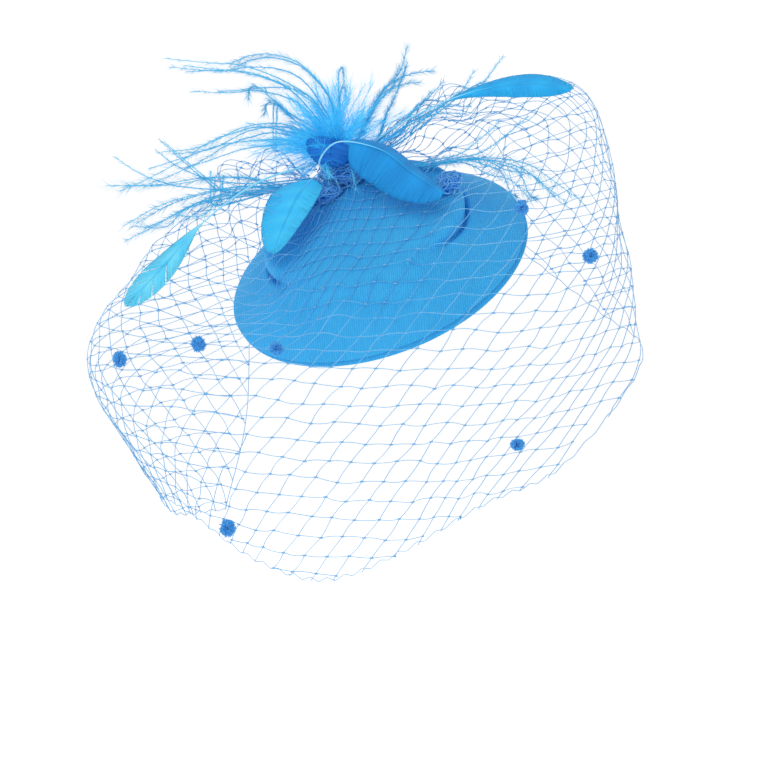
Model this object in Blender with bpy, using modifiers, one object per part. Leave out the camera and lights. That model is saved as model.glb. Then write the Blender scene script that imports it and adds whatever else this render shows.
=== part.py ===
"""A round fascinator hat with a birdcage veil and a spray of feathers.

Metres, +Z up. The wearer faces -Y. The origin is the middle of the hat's rim, where it sits on the head.
Lengths below are in millimetres and are turned into metres by MM.
"""
import math

import bmesh
import bpy
import numpy as np
from mathutils import Vector

MM = 0.001
CLEARANCE = 0.3

# Base: a shallow cone of a brim and a low button of a crown, pressed in one
RIM_RADIUS = 79.6
CREASE_RADIUS = 52.0
CREST_HEIGHT = 28.5
CREASE_DEPTH = 10.5
DOME_RISE = 7.5
COVER_WALL = 2.0
BRIM_CROWNING = 2.2
CREASE_LEAN = 1.8
CREST_INSET = 1.2
CREST_ROLL = 0.9
FACING_WALL = 1.2
FACING_WIDTH = 11.0
FACING_LIP = 0.9
TILT_FORWARD = 33.2
TILT_SIDE = -22.26
BASE_SEGMENTS = 40
BRIM_STATIONS = (0.0, 0.25, 0.5, 0.75, 0.93)
DOME_STATIONS = (0.84, 0.6, 0.3)

# Veil: one strip of netting gathered at the knot
VEIL_AXIS_X = -9.0
VEIL_REACH = 142.0
VEIL_RISE = 94.0
VEIL_DROP = 162.0
GATHER_GAP = 2.6
VEIL_THREAD = 1.7
VEIL_WALL = 0.9
VEIL_LIFT = 6.2
CROWN_LIFT_SHARE = 0.55
VEIL_COLUMNS = 16
VEIL_ROWS = 8
EDGE_POINT = 0.5

# Trim
KNOT_ALONG = 2.0
KNOT_BACK = 39.0
KNOT_RADIUS = 12.0
KNOT_SHARES = (1.0, 0.85, 0.6)
KNOT_LUMPS = 0.12
DOT_DIAMETER = 8.4
QUILL_WIDTH = 1.6
VANE_THICKNESS = 1.0
FEATHER_STATIONS = 11
FROND_WIDTH = 1.9
FROND_REACH = 120.0
FROND_STATIONS = 9
PUFF_RADIUS = 11.0
PUFF_DIRECTION = (-0.25, 0.58, 0.78)
LOCK_LENGTH = 27.0
LOCK_WIDTH = 4.2
LOCK_COUNT = 24
LOCK_LEAN = (-0.35, 0.0, 0.1)
LOCK_DROOP = 0.25
LOCK_STATIONS = 4
LOCK_SPREAD = 1.25
LOCK_LIFT = 0.5
LOCK_EVENNESS = 0.75
STRIP_ROOT = 2.5
STRIP_TAPER = 0.8
GOLDEN_TURN = 2.39996

# Clip
CLIP_LENGTH = 46.0
CLIP_WIDTH = 9.0
CLIP_PLATE = 1.3
CLIP_SPAN = 5.0

# Colours
CLOTH_BLUE = (0.03, 0.37, 0.80)
NET_BLUE = (0.08, 0.33, 0.80)
DOT_BLUE = (0.01, 0.17, 0.75)
FEATHER_BLUE = (0.01, 0.36, 0.85)
STEEL_GREY = (0.6, 0.6, 0.6)

# Depth of the crown's crease round the hat, from the right-hand end of the rim's long axis towards the back
CREASE_SECTIONS = (
    dict(angle=0, depth=0.95),
    dict(angle=40, depth=1.00),
    dict(angle=90, depth=0.85),
    dict(angle=135, depth=0.95),
    dict(angle=165, depth=1.00),
    dict(angle=200, depth=0.55),
    dict(angle=235, depth=0.20),
    dict(angle=270, depth=0.12),
    dict(angle=300, depth=0.40),
    dict(angle=335, depth=0.85),
)

# The veil's ribs: angle is seen from above, 0 at the wearer's left and 270 in front.
# out is a share of VEIL_REACH, up of VEIL_RISE and down of VEIL_DROP; lead turns the rib's top, in degrees.
VEIL_SECTIONS = (
    dict(angle=130, lead=0, rise_out=0.34, rise_up=0.50, shoulder_out=0.62, shoulder_up=0.04,
         belly_out=0.67, belly_down=0.52, edge_out=0.56, edge_down=0.96),
    dict(angle=155, lead=0, rise_out=0.44, rise_up=0.58, shoulder_out=0.66, shoulder_up=0.12,
         belly_out=0.93, belly_down=0.38, edge_out=0.70, edge_down=0.90),
    dict(angle=180, lead=0, rise_out=0.42, rise_up=0.46, shoulder_out=0.71, shoulder_up=0.15,
         belly_out=1.00, belly_down=0.30, edge_out=0.70, edge_down=0.82),
    dict(angle=205, lead=0, rise_out=0.31, rise_up=0.20, shoulder_out=0.50, shoulder_up=-0.14,
         belly_out=0.88, belly_down=0.36, edge_out=0.70, edge_down=0.88),
    dict(angle=232, lead=0, rise_out=0.24, rise_up=0.10, shoulder_out=0.42, shoulder_up=-0.26,
         belly_out=0.66, belly_down=0.41, edge_out=0.61, edge_down=0.96),
    dict(angle=258, lead=0, rise_out=0.24, rise_up=0.10, shoulder_out=0.42, shoulder_up=-0.22,
         belly_out=0.59, belly_down=0.43, edge_out=0.60, edge_down=1.00),
    dict(angle=284, lead=16, rise_out=0.27, rise_up=0.20, shoulder_out=0.44, shoulder_up=-0.06,
         belly_out=0.60, belly_down=0.34, edge_out=0.63, edge_down=0.91),
    dict(angle=308, lead=54, rise_out=0.40, rise_up=0.62, shoulder_out=0.66, shoulder_up=0.48,
         belly_out=0.80, belly_down=0.21, edge_out=0.73, edge_down=0.76),
    dict(angle=332, lead=40, rise_out=0.40, rise_up=0.80, shoulder_out=0.82, shoulder_up=0.78,
         belly_out=0.93, belly_down=0.06, edge_out=0.83, edge_down=0.64),
    dict(angle=356, lead=24, rise_out=0.33, rise_up=0.93, shoulder_out=0.80, shoulder_up=1.00,
         belly_out=0.96, belly_down=-0.11, edge_out=1.03, edge_down=0.31),
    dict(angle=380, lead=10, rise_out=0.31, rise_up=0.90, shoulder_out=0.74, shoulder_up=0.92,
         belly_out=0.92, belly_down=-0.18, edge_out=0.94, edge_down=0.15),
    dict(angle=402, lead=0, rise_out=0.31, rise_up=0.80, shoulder_out=0.62, shoulder_up=0.77,
         belly_out=0.77, belly_down=-0.26, edge_out=0.79, edge_down=-0.06),
)

# Chenille dots: shares round the strip and down from the knot
DOT_PLACES = (
    dict(around=0.625, down=0.56),
    dict(around=0.690, down=0.69),
    dict(around=0.310, down=0.67),
    dict(around=0.255, down=0.73),
    dict(around=0.385, down=0.65),
    dict(around=0.645, down=0.92),
    dict(around=0.340, down=0.95),
)

# Broad feathers: path starts with the way out of the knot, then places in shares of the length
FEATHERS = (
    dict(name="petal_feather_right", length=62.0, vane=25.0, vane_from=0.48, fullness=0.75, cup=-0.16,
         facing=(-0.2, -0.8, 0.5),
         path=((-0.60, -0.65, -0.45), (-0.19, -0.31, 0.04), (-0.03, -0.40, 0.20), (0.32, -0.55, 0.13),
               (0.61, -0.77, -0.10), (0.88, -0.94, -0.30))),
    dict(name="petal_feather_left", length=62.0, vane=23.0, vane_from=0.14, fullness=0.70, cup=-0.16,
         facing=(-0.4, -0.7, 0.6),
         path=((-0.80, -0.55, 0.15), (-0.32, -0.42, -0.18), (-0.46, -0.60, -0.44), (-0.57, -0.78, -0.74))),
    dict(name="petal_feather_back", length=24.0, vane=13.0, vane_from=0.10, fullness=0.80, cup=-0.20,
         facing=(0.0, -0.8, 0.6),
         path=((0.00, -0.35, 0.95), (-0.13, -0.46, 0.58), (-0.21, -0.68, 0.32), (-0.25, -0.70, -0.02))),
    dict(name="paddle_feather_right", length=138.0, vane=15.5, vane_from=0.60, fullness=0.90, cup=-0.12,
         facing=(-0.2, -0.8, 0.6),
         path=((0.7, 0.2, 0.7), (0.25, -0.08, 0.18), (0.47, -0.22, 0.27), (0.67, -0.32, 0.30),
               (0.86, -0.40, 0.28))),
    dict(name="paddle_feather_left", length=138.0, vane=13.5, vane_from=0.62, fullness=1.15, cup=-0.12,
         facing=(-0.4, -0.8, 0.4),
         path=((-0.9, -0.2, 0.4), (-0.31, -0.20, -0.06), (-0.52, -0.34, -0.22), (-0.66, -0.42, -0.38),
               (-0.80, -0.47, -0.53))),
)

# Fronds: places of the middle and the tip, in shares of FROND_REACH from the knot's middle
FRONDS = (
    dict(mid_x=-0.25, mid_y=0.02, mid_z=0.48, tip_x=-0.55, tip_y=-0.05, tip_z=0.46),
    dict(mid_x=-0.29, mid_y=0.09, mid_z=0.40, tip_x=-0.75, tip_y=0.08, tip_z=0.47),
    dict(mid_x=-0.22, mid_y=-0.02, mid_z=0.30, tip_x=-0.72, tip_y=-0.15, tip_z=0.38),
    dict(mid_x=-0.43, mid_y=-0.10, mid_z=0.18, tip_x=-0.83, tip_y=-0.30, tip_z=-0.02),
    dict(mid_x=-0.49, mid_y=-0.04, mid_z=0.09, tip_x=-0.96, tip_y=-0.18, tip_z=-0.11),
    dict(mid_x=-0.54, mid_y=-0.14, mid_z=0.00, tip_x=-1.01, tip_y=-0.38, tip_z=-0.08),
    dict(mid_x=-0.63, mid_y=-0.21, mid_z=-0.08, tip_x=-0.93, tip_y=-0.52, tip_z=-0.27),
    dict(mid_x=-0.32, mid_y=-0.01, mid_z=0.32, tip_x=-0.41, tip_y=-0.12, tip_z=0.30),
    dict(mid_x=-0.03, mid_y=0.10, mid_z=0.32, tip_x=-0.01, tip_y=0.10, tip_z=0.43),
    dict(mid_x=0.20, mid_y=0.12, mid_z=0.28, tip_x=0.29, tip_y=0.15, tip_z=0.54),
    dict(mid_x=0.20, mid_y=0.07, mid_z=0.36, tip_x=0.41, tip_y=0.05, tip_z=0.43),
    dict(mid_x=0.26, mid_y=0.02, mid_z=0.26, tip_x=0.44, tip_y=-0.05, tip_z=0.38),
    dict(mid_x=0.33, mid_y=-0.22, mid_z=0.19, tip_x=0.81, tip_y=-0.34, tip_z=0.21),
    dict(mid_x=0.33, mid_y=-0.27, mid_z=0.17, tip_x=1.02, tip_y=-0.52, tip_z=-0.15),
    dict(mid_x=0.30, mid_y=-0.32, mid_z=0.14, tip_x=0.82, tip_y=-0.54, tip_z=-0.16),
)


def catmull_blend(a, b, c, d, t):
    """Smooth step from b to c, at t from 0 to 1, with a and d as the points on either side."""
    return 0.5 * (2 * b + (c - a) * t + (2 * a - 5 * b + 4 * c - d) * t ** 2
                  + (3 * b - a - 3 * c + d) * t ** 3)


def catmull(points, share):
    """Smooth curve through rows of points; share runs 0 to 1 along them, as an array."""
    rows = np.asarray(points, dtype=float)
    rows = np.vstack([2 * rows[:1] - rows[1:2], rows, 2 * rows[-1:] - rows[-2:-1]])
    place = np.clip(np.asarray(share, dtype=float), 0, 1) * (len(rows) - 3)
    first = np.minimum(place.astype(int), len(rows) - 4)
    t = (place - first)[..., None]
    a, b, c, d = (rows[first + k] for k in range(4))
    return catmull_blend(a, b, c, d, t)


def tilt_axes():
    """The hat's own axes in the world: along the rim's long axis, backwards, and up out of the crown."""
    forward = math.radians(TILT_FORWARD)
    side = math.radians(TILT_SIDE)
    along = np.array([math.cos(side), 0.0, -math.sin(side)])
    level = math.cos(forward)
    up = np.array([level * math.sin(side), -math.sin(forward), level * math.cos(side)])
    return np.stack([along, np.cross(up, along), up])


HAT_AXES = tilt_axes()


def crease_depth(angle):
    """Crease depth in millimetres at angles in radians round the hat, smooth and closed."""
    angles = np.radians([row["angle"] for row in CREASE_SECTIONS])
    depths = np.array([row["depth"] for row in CREASE_SECTIONS])
    ring = np.concatenate([angles - 2 * math.pi, angles, angles + 2 * math.pi])
    depth = np.interp(np.mod(angle, 2 * math.pi), ring, np.tile(depths, 3))
    return CREASE_DEPTH * depth * depth * (3 - 2 * depth)


def brim_height(radius, foot):
    """Height of the brim's upper face at a radius, rising from the rim to the crease's foot."""
    share = (RIM_RADIUS - radius) / (RIM_RADIUS - CREASE_RADIUS)
    return foot * share + BRIM_CROWNING * np.sin(math.pi * np.clip(share, 0, 1))


def base_profile(angle):
    """Radius and height of the base's upper face, rim first and middle last, at angles round the hat."""
    depth = crease_depth(angle)
    foot = CREST_HEIGHT - depth
    lean = CREASE_LEAN * depth / CREASE_DEPTH
    radii = []
    heights = []
    for share in BRIM_STATIONS:
        radius = RIM_RADIUS + (CREASE_RADIUS - RIM_RADIUS) * share + 0 * angle
        radii.append(radius)
        heights.append(brim_height(radius, foot))
    radii += [CREASE_RADIUS + 0 * angle, CREASE_RADIUS + lean, CREASE_RADIUS - CREST_INSET + 0.4 * lean]
    heights += [foot + 0 * angle, foot + 0.5 * depth, foot + 0.95 * depth + CREST_ROLL]
    for share in DOME_STATIONS:
        radii.append(CREASE_RADIUS * share + 0 * angle)
        heights.append(CREST_HEIGHT + DOME_RISE * (1 - share ** 2) + 0 * angle)
    return np.array(radii), np.array(heights)


def base_height(u, v):
    """Height of the base's upper face above the rim's plane over points in the hat's own axes."""
    radius = np.hypot(u, v)
    foot = CREST_HEIGHT - crease_depth(np.arctan2(v, u))
    crown = CREST_HEIGHT + DOME_RISE * (1 - (radius / CREASE_RADIUS) ** 2)
    return np.where(radius < CREASE_RADIUS + CREASE_LEAN, crown, brim_height(radius, foot))


def lay_over_hat(points, lift):
    """Raise world points that would sink into the hat, so that the net lies over crown, brim and rim."""
    local = points @ HAT_AXES.T
    u, v, w = local[..., 0], local[..., 1], local[..., 2]
    radius = np.maximum(np.hypot(u, v), 1e-6)
    outward = np.clip((radius / CREASE_RADIUS - 0.8) / 0.4, 0, 1)
    lift = lift * (CROWN_LIFT_SHARE + (1 - CROWN_LIFT_SHARE) * outward)
    outer = RIM_RADIUS + lift
    over = (radius < outer) & (w > -0.3 * RIM_RADIUS)
    low = over & (w < base_height(u, v) + lift)
    near_rim = low & (w < lift)
    push = np.where(near_rim, outer / radius, 1.0)
    height = np.where(low & ~near_rim, base_height(u, v) + lift, w)
    return np.stack([u * push, v * push, height], axis=-1) @ HAT_AXES


def crown_point(u, v, above):
    """World point over the crown, in the hat's own axes, above its upper face."""
    height = CREST_HEIGHT + DOME_RISE * (1 - (u * u + v * v) / CREASE_RADIUS ** 2)
    return np.array([u, v, height + above]) @ HAT_AXES


KNOT_CENTRE = crown_point(KNOT_ALONG, KNOT_BACK, KNOT_RADIUS * KNOT_SHARES[2] + CLEARANCE)


def veil_point(around, down, lift=VEIL_LIFT):
    """World points of the veil in millimetres; around runs along the strip and down from knot to edge."""
    around = np.asarray(around, dtype=float)
    down = np.asarray(down, dtype=float)
    columns = ("angle", "rise_out", "rise_up", "shoulder_out", "shoulder_up",
               "belly_out", "belly_down", "edge_out", "edge_down", "lead")
    table = np.array([[row[name] for name in columns] for row in VEIL_SECTIONS], dtype=float)
    rib = catmull(table, around)
    angle = np.radians(rib[..., 0] + rib[..., 9])
    gather = KNOT_RADIUS + GATHER_GAP
    u = KNOT_ALONG + gather * np.cos(angle)
    v = KNOT_BACK + gather * np.sin(angle)
    stations = [np.stack([u, v, base_height(u, v) + GATHER_GAP], axis=-1) @ HAT_AXES]
    for out, up, scale, lead in ((1, 2, VEIL_RISE, 0.75), (3, 4, VEIL_RISE, 0.5),
                                 (5, 6, -VEIL_DROP, 0.25), (7, 8, -VEIL_DROP, 0.0)):
        reach = VEIL_REACH * rib[..., out]
        angle = np.radians(rib[..., 0] + lead * rib[..., 9])
        place = [VEIL_AXIS_X + reach * np.cos(angle), reach * np.sin(angle), scale * rib[..., up]]
        stations.append(np.stack(place, axis=-1))
    count = len(stations)
    bent = [2 * stations[0] - stations[1]] + stations + [2 * stations[-1] - stations[-2]]
    bent = np.stack(np.broadcast_arrays(*bent))
    place = np.clip(down, 0, 1) * (count - 1)
    place = np.broadcast_to(place, around.shape)
    first = np.minimum(place.astype(int), count - 2)
    t = (place - first)[..., None]
    pick = [np.take_along_axis(bent, (first + k)[None, ..., None], axis=0)[0] for k in range(4)]
    a, b, c, d = pick
    points = catmull_blend(a, b, c, d, t)
    return lay_over_hat(points, np.minimum(lift, GATHER_GAP + 4 * lift * down))


def clear_scene():
    for item in list(bpy.data.objects):
        bpy.data.objects.remove(item, do_unlink=True)


def material(name, colour, roughness, sheen=0.0):
    made = bpy.data.materials.new(name)
    made.use_nodes = True
    shader = made.node_tree.nodes["Principled BSDF"]
    shader.inputs["Base Color"].default_value = (*colour, 1.0)
    shader.inputs["Roughness"].default_value = roughness
    shader.inputs["Sheen Weight"].default_value = sheen
    return made


def add_object(name, mesh, finish, parent=None):
    part = bpy.data.objects.new(name, mesh)
    PARTS.objects.link(part)
    part.data.materials.append(finish)
    part.parent = parent
    return part


def grid_mesh(name, rows, closed_round=True, pole=None):
    """Mesh of a grid of points, each row a ring; an optional pole closes the last ring. Millimetres in."""
    rows = np.asarray(rows) * MM
    count, around = rows.shape[:2]
    points = rows.reshape(-1, 3).tolist()
    steps = around if closed_round else around - 1
    faces = []
    for i in range(count - 1):
        for j in range(steps):
            k = (j + 1) % around
            faces.append((i * around + j, i * around + k, (i + 1) * around + k, (i + 1) * around + j))
    if pole is not None:
        points.append((np.asarray(pole) * MM).tolist())
        last = (count - 1) * around
        faces += [(last + j, last + (j + 1) % around, len(points) - 1) for j in range(steps)]
    mesh = bpy.data.meshes.new(name)
    mesh.from_pydata(points, [], faces)
    return mesh


def thicken(part, wall, offset=-1.0):
    shell = part.modifiers.new("wall", "SOLIDIFY")
    shell.thickness = wall * MM
    shell.offset = offset
    shell.use_even_offset = False


def add_base(seat, cloth):
    """The covered base: crown and brim in one shell, hollow underneath."""
    angle = np.linspace(0, 2 * math.pi, BASE_SEGMENTS, endpoint=False)
    radii, heights = base_profile(angle)
    rows = np.stack([radii * np.cos(angle), radii * np.sin(angle), heights], axis=-1)
    mesh = grid_mesh("crown_and_brim", rows, pole=(0, 0, CREST_HEIGHT + DOME_RISE))
    thicken(add_object("crown_and_brim", mesh, cloth, seat), COVER_WALL)


def add_facing(seat, cloth):
    """The under layer of the brim, whose lip shows as a second line at the edge."""
    angle = np.linspace(0, 2 * math.pi, BASE_SEGMENTS, endpoint=False)
    foot = CREST_HEIGHT - crease_depth(angle)
    slope = (foot + math.pi * BRIM_CROWNING) / (RIM_RADIUS - CREASE_RADIUS)
    drop = COVER_WALL * np.sqrt(1 + slope ** 2) + 2 * CLEARANCE
    rows = []
    for radius in (RIM_RADIUS + FACING_LIP, RIM_RADIUS - FACING_WIDTH / 2, RIM_RADIUS - FACING_WIDTH):
        height = brim_height(radius, foot) - drop
        rows.append(np.stack([radius * np.cos(angle), radius * np.sin(angle), height], axis=-1))
    mesh = grid_mesh("brim_facing", np.array(rows))
    thicken(add_object("brim_facing", mesh, cloth, seat), FACING_WALL)


def add_clip(seat, metal):
    """A plain bent hair clip under the crown: two flat bars joined at one end."""
    under = CREST_HEIGHT + DOME_RISE * (1 - (CLIP_LENGTH / 2 / CREASE_RADIUS) ** 2) - COVER_WALL - CLEARANCE
    half = CLIP_LENGTH / 2
    outline = [(-half, 0), (half, 0), (half, -CLIP_PLATE), (-half + 2 * CLIP_PLATE, -CLIP_PLATE),
               (-half + 2 * CLIP_PLATE, -CLIP_SPAN + CLIP_PLATE), (half - CLIP_SPAN, -CLIP_SPAN + CLIP_PLATE),
               (half - CLIP_SPAN, -CLIP_SPAN), (-half, -CLIP_SPAN)]
    curve = bpy.data.curves.new("hair_clip", "CURVE")
    curve.dimensions = "2D"
    curve.fill_mode = "BOTH"
    curve.extrude = CLIP_WIDTH / 2 * MM
    line = curve.splines.new("POLY")
    line.points.add(len(outline) - 1)
    for point, (x, y) in zip(line.points, outline):
        point.co = (x * MM, y * MM, 0, 1)
    line.use_cyclic_u = True
    clip = add_object("hair_clip", curve, metal, seat)
    clip.location = (0, 0, under * MM)
    clip.rotation_euler = (math.radians(90), 0, 0)


def crossing_shares():
    """Where the net's threads cross: shares round and down, keyed by row and column, on staggered rows."""
    shares = {}
    for row in range(VEIL_ROWS + 1):
        stagger = 0.5 * (row % 2)
        for column in range(VEIL_COLUMNS + 1 - row % 2):
            down = min(row / (VEIL_ROWS - EDGE_POINT), 1.0)
            shares[row, column] = ((column + stagger) / VEIL_COLUMNS, down)
    return shares


def nearest_crossing(shares, around, down):
    """Key of the inner crossing closest to a place on the veil."""
    inner = [key for key in shares if 0 < key[0] < VEIL_ROWS]
    return min(inner, key=lambda key: math.hypot((shares[key][0] - around) * VEIL_COLUMNS,
                                                 (shares[key][1] - down) * VEIL_ROWS))


def net_cells(index):
    """Corners of the net's diamonds, with a half diamond at each end of every second row."""
    cells = []
    for row in range(1, VEIL_ROWS):
        stagger = row % 2
        last = VEIL_COLUMNS - stagger
        for column in range(last):
            beside = column + stagger
            cells.append([(row - 1, beside), (row, column), (row + 1, beside), (row, column + 1)])
        if stagger:
            cells.append([(row - 1, 0), (row + 1, 0), (row, 0)])
            cells.append([(row + 1, last + 1), (row - 1, last + 1), (row, last)])
    return [[index[key] for key in cell] for cell in cells]


def add_veil(net, shares):
    """Diamond netting cut right through: each cell is a ring of thread round its gap."""
    around, down = np.array(list(shares.values())).T
    points = list(veil_point(around, down))
    faces = []
    for cell in net_cells({key: i for i, key in enumerate(shares)}):
        corners = np.array([points[i] for i in cell])
        middle = corners.mean(axis=0)
        spans = np.roll(corners, -1, axis=0) - corners
        area = np.linalg.norm(np.cross(corners - middle, spans), axis=1).sum() / 2
        inner = 1 - VEIL_THREAD / 2 * np.linalg.norm(spans, axis=1).sum() / (2 * area)
        first = len(points)
        points += list(middle + (corners - middle) * inner)
        for k in range(len(cell)):
            after = (k + 1) % len(cell)
            faces.append((cell[k], cell[after], first + after, first + k))
    mesh = bpy.data.meshes.new("veil_net")
    mesh.from_pydata((np.array(points) * MM).tolist(), [], faces)
    thicken(add_object("veil_net", mesh, net), VEIL_WALL, offset=0.0)


def veil_normal(around, down):
    """Outward direction of the veil at one place."""
    step = 0.01
    side = veil_point([around + step], [down])[0] - veil_point([around - step], [down])[0]
    fall = veil_point([around], [down + step])[0] - veil_point([around], [down - step])[0]
    normal = np.cross(fall, side)
    return normal / np.linalg.norm(normal)


def add_dots(chenille):
    """Chenille dots, each just outside the crossing that carries it."""
    for number, row in enumerate(DOT_PLACES, start=1):
        around, down = row["around"], row["down"]
        stand = (DOT_DIAMETER + VEIL_WALL) / 2 + CLEARANCE
        place = veil_point([around], [down])[0] + veil_normal(around, down) * stand
        mesh = bpy.data.meshes.new("veil_dot")
        ball = bmesh.new()
        bmesh.ops.create_icosphere(ball, subdivisions=2, radius=DOT_DIAMETER / 2 * MM)
        ball.to_mesh(mesh)
        ball.free()
        dot = add_object("veil_dot_%d" % number, mesh, chenille)
        dot.location = place * MM


def knot_lump(point):
    """Share of the knot's full size left at a point of the unit ball, lower in its furrows."""
    return 1 - KNOT_LUMPS * (0.5 + 0.5 * math.sin(5 * point[0] + 2) * math.sin(6 * point[1] + 1))


def knot_reach(direction):
    """Distance from the knot's middle to its surface in a world direction."""
    stretched = HAT_AXES @ direction / np.array(KNOT_SHARES)
    span = np.linalg.norm(stretched)
    return KNOT_RADIUS * knot_lump(stretched / span) / span


def add_knot(net, seat):
    """The crumpled end of the netting: a low lumpy bun on the crown."""
    mesh = bpy.data.meshes.new("veil_knot")
    bun = bmesh.new()
    bmesh.ops.create_icosphere(bun, subdivisions=3, radius=1.0)
    for vert in bun.verts:
        size = knot_lump(vert.co) * KNOT_RADIUS * MM
        vert.co = Vector([vert.co[k] * KNOT_SHARES[k] * size for k in range(3)])
    bun.to_mesh(mesh)
    bun.free()
    knot = add_object("veil_knot", mesh, net, seat)
    knot.location = (HAT_AXES @ KNOT_CENTRE) * MM


def blade_mesh(name, spine, half_width, thickness, cup, facing, across):
    """Closed loft along a spine: a ribbon with a rounded upper side, cupped by a share of its half width."""
    tangent = np.gradient(spine, axis=0)
    tangent /= np.linalg.norm(tangent, axis=1)[:, None]
    side = np.cross(tangent, np.asarray(facing, dtype=float))
    side /= np.linalg.norm(side, axis=1)[:, None]
    normal = np.cross(side, tangent)
    ring = []
    for c, level in across:
        bow = cup * half_width * c * c
        rise = bow + level * thickness / 2
        ring.append(spine + side * (half_width * c)[:, None] + normal * rise[:, None])
    rows = np.stack(ring, axis=1)
    mesh = grid_mesh(name, rows)
    solid = bmesh.new()
    solid.from_mesh(mesh)
    solid.verts.ensure_lookup_table()
    count, sides = rows.shape[:2]
    solid.faces.new([solid.verts[k] for k in range(sides)])
    solid.faces.new([solid.verts[(count - 1) * sides + k] for k in range(sides)])
    bmesh.ops.recalc_face_normals(solid, faces=solid.faces)
    solid.to_mesh(mesh)
    solid.free()
    return mesh


VANE_SECTION = ((-1, 0), (-0.5, 0.8), (0, 1), (0.5, 0.8), (1, 0), (0.5, -0.8), (0, -1), (-0.5, -0.8))
BARB_SECTION = ((-1, 0), (0, 1), (1, 0), (0, -1))


def feather_spine(row, count):
    """Spine points in millimetres: out of the knot, then through the row's shares."""
    first = np.array(row["path"][0], dtype=float)
    first /= np.linalg.norm(first)
    root = KNOT_CENTRE + first * (knot_reach(first) + CLEARANCE + QUILL_WIDTH / 3)
    path = [root] + [KNOT_CENTRE + row["length"] * np.array(point) for point in row["path"][1:]]
    return catmull(path, np.linspace(0, 1, count))


def add_feathers(finish):
    """The broad feathers: a thin quill that opens into a cupped vane."""
    for row in FEATHERS:
        share = np.linspace(0, 1, FEATHER_STATIONS)
        spine = feather_spine(row, FEATHER_STATIONS)
        vane = np.clip((share - row["vane_from"]) / (1 - row["vane_from"]), 0, 1)
        swell = np.sin(math.pi * vane ** row["fullness"]) ** 0.7
        half = np.maximum(row["vane"] / 2 * swell, QUILL_WIDTH / 2)
        thickness = np.linspace(QUILL_WIDTH, VANE_THICKNESS, FEATHER_STATIONS)
        cup = row["cup"] * vane
        mesh = blade_mesh(row["name"], spine, half, thickness, cup, row["facing"], VANE_SECTION)
        add_object(row["name"], mesh, finish)


def add_spray(finish):
    """Fluff and fronds: tapered locks and strips fused to one head behind the knot."""
    direction = np.array(PUFF_DIRECTION, dtype=float)
    direction /= np.linalg.norm(direction)
    centre = KNOT_CENTRE + direction * (knot_reach(direction) + CLEARANCE + PUFF_RADIUS)
    mesh = bpy.data.meshes.new("feather_spray")
    ball = bmesh.new()
    bmesh.ops.create_icosphere(ball, subdivisions=2, radius=PUFF_RADIUS * MM)
    ball.to_mesh(mesh)
    ball.free()
    head = add_object("feather_spray", mesh, finish)
    head.location = centre * MM
    strips = []
    for row in FRONDS:
        tip = KNOT_CENTRE + FROND_REACH * np.array([row["tip_x"], row["tip_y"], row["tip_z"]])
        mid = KNOT_CENTRE + FROND_REACH * np.array([row["mid_x"], row["mid_y"], row["mid_z"]])
        strips.append((np.linspace(0, 1, FROND_STATIONS), mid, tip, FROND_WIDTH))
    for number in range(LOCK_COUNT):
        turn = number * GOLDEN_TURN
        level = 1 - (number + 0.5) / LOCK_COUNT * LOCK_SPREAD
        flat = math.sqrt(1 - level * level)
        toward = np.array([flat * math.cos(turn), flat * math.sin(turn), level])
        toward = toward + direction * LOCK_LIFT + np.array(LOCK_LEAN)
        toward /= np.linalg.norm(toward)
        length = LOCK_LENGTH * (LOCK_EVENNESS + (1 - LOCK_EVENNESS) * math.sin(3 * number))
        tip = centre + toward * (PUFF_RADIUS + length) - np.array([0, 0, LOCK_DROOP * length])
        mid = centre + toward * (PUFF_RADIUS + 0.4 * length)
        strips.append((np.linspace(0, 1, LOCK_STATIONS), mid, tip, LOCK_WIDTH))
    for number, (share, mid, tip, width) in enumerate(strips):
        toward = (mid - centre) / np.linalg.norm(mid - centre)
        spine = catmull([centre + toward * (PUFF_RADIUS - STRIP_ROOT), mid, tip], share)
        half = width / 2 * (1 - STRIP_TAPER * share)
        mesh = blade_mesh("strip_%d" % number, spine, half, 2 * half, 0 * half, (0.3, -0.5, 1), BARB_SECTION)
        strip = bpy.data.objects.new("strip_%d" % number, mesh)
        strip.hide_render = True
        strip.display_type = "WIRE"
        STRIPS.objects.link(strip)
    fuse = head.modifiers.new("fuse", "BOOLEAN")
    fuse.operation = "UNION"
    fuse.operand_type = "COLLECTION"
    fuse.collection = STRIPS
    fuse.solver = "EXACT"


PARTS = bpy.data.collections.new("fascinator_hat")
STRIPS = bpy.data.collections.new("strips")


def main():
    clear_scene()
    for collection in (PARTS, STRIPS):
        bpy.context.scene.collection.children.link(collection)
    seat = bpy.data.objects.new("seat", None)
    PARTS.objects.link(seat)
    seat.rotation_euler = (math.radians(TILT_FORWARD), math.radians(TILT_SIDE), 0)
    cloth = material("ribbed_cloth", CLOTH_BLUE, 0.8, 0.3)
    net = material("netting", NET_BLUE, 0.5)
    chenille = material("chenille", DOT_BLUE, 0.9, 0.5)
    plume = material("feather", FEATHER_BLUE, 0.6, 0.3)
    steel = material("steel", STEEL_GREY, 0.3)
    shares = crossing_shares()
    for row in DOT_PLACES:
        shares[nearest_crossing(shares, row["around"], row["down"])] = (row["around"], row["down"])
    add_base(seat, cloth)
    add_facing(seat, cloth)
    add_clip(seat, steel)
    add_veil(net, shares)
    add_dots(chenille)
    add_knot(net, seat)
    add_feathers(plume)
    add_spray(plume)


if __name__ == "__main__":
    main()
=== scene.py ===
# %% [markdown]
# # A tilted blue fascinator, dressed with numpy
#
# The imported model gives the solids: a stiff base, a coarse net, plain feathers. This lesson gives them
# their looks. Every new piece is a surface or a bundle of strands worked out as whole arrays, in
# millimetres, and turned into metres only when the mesh is made. The axes are the model's: +Z up, and the
# wearer faces -Y.

# %% Load the frame
import math

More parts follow.
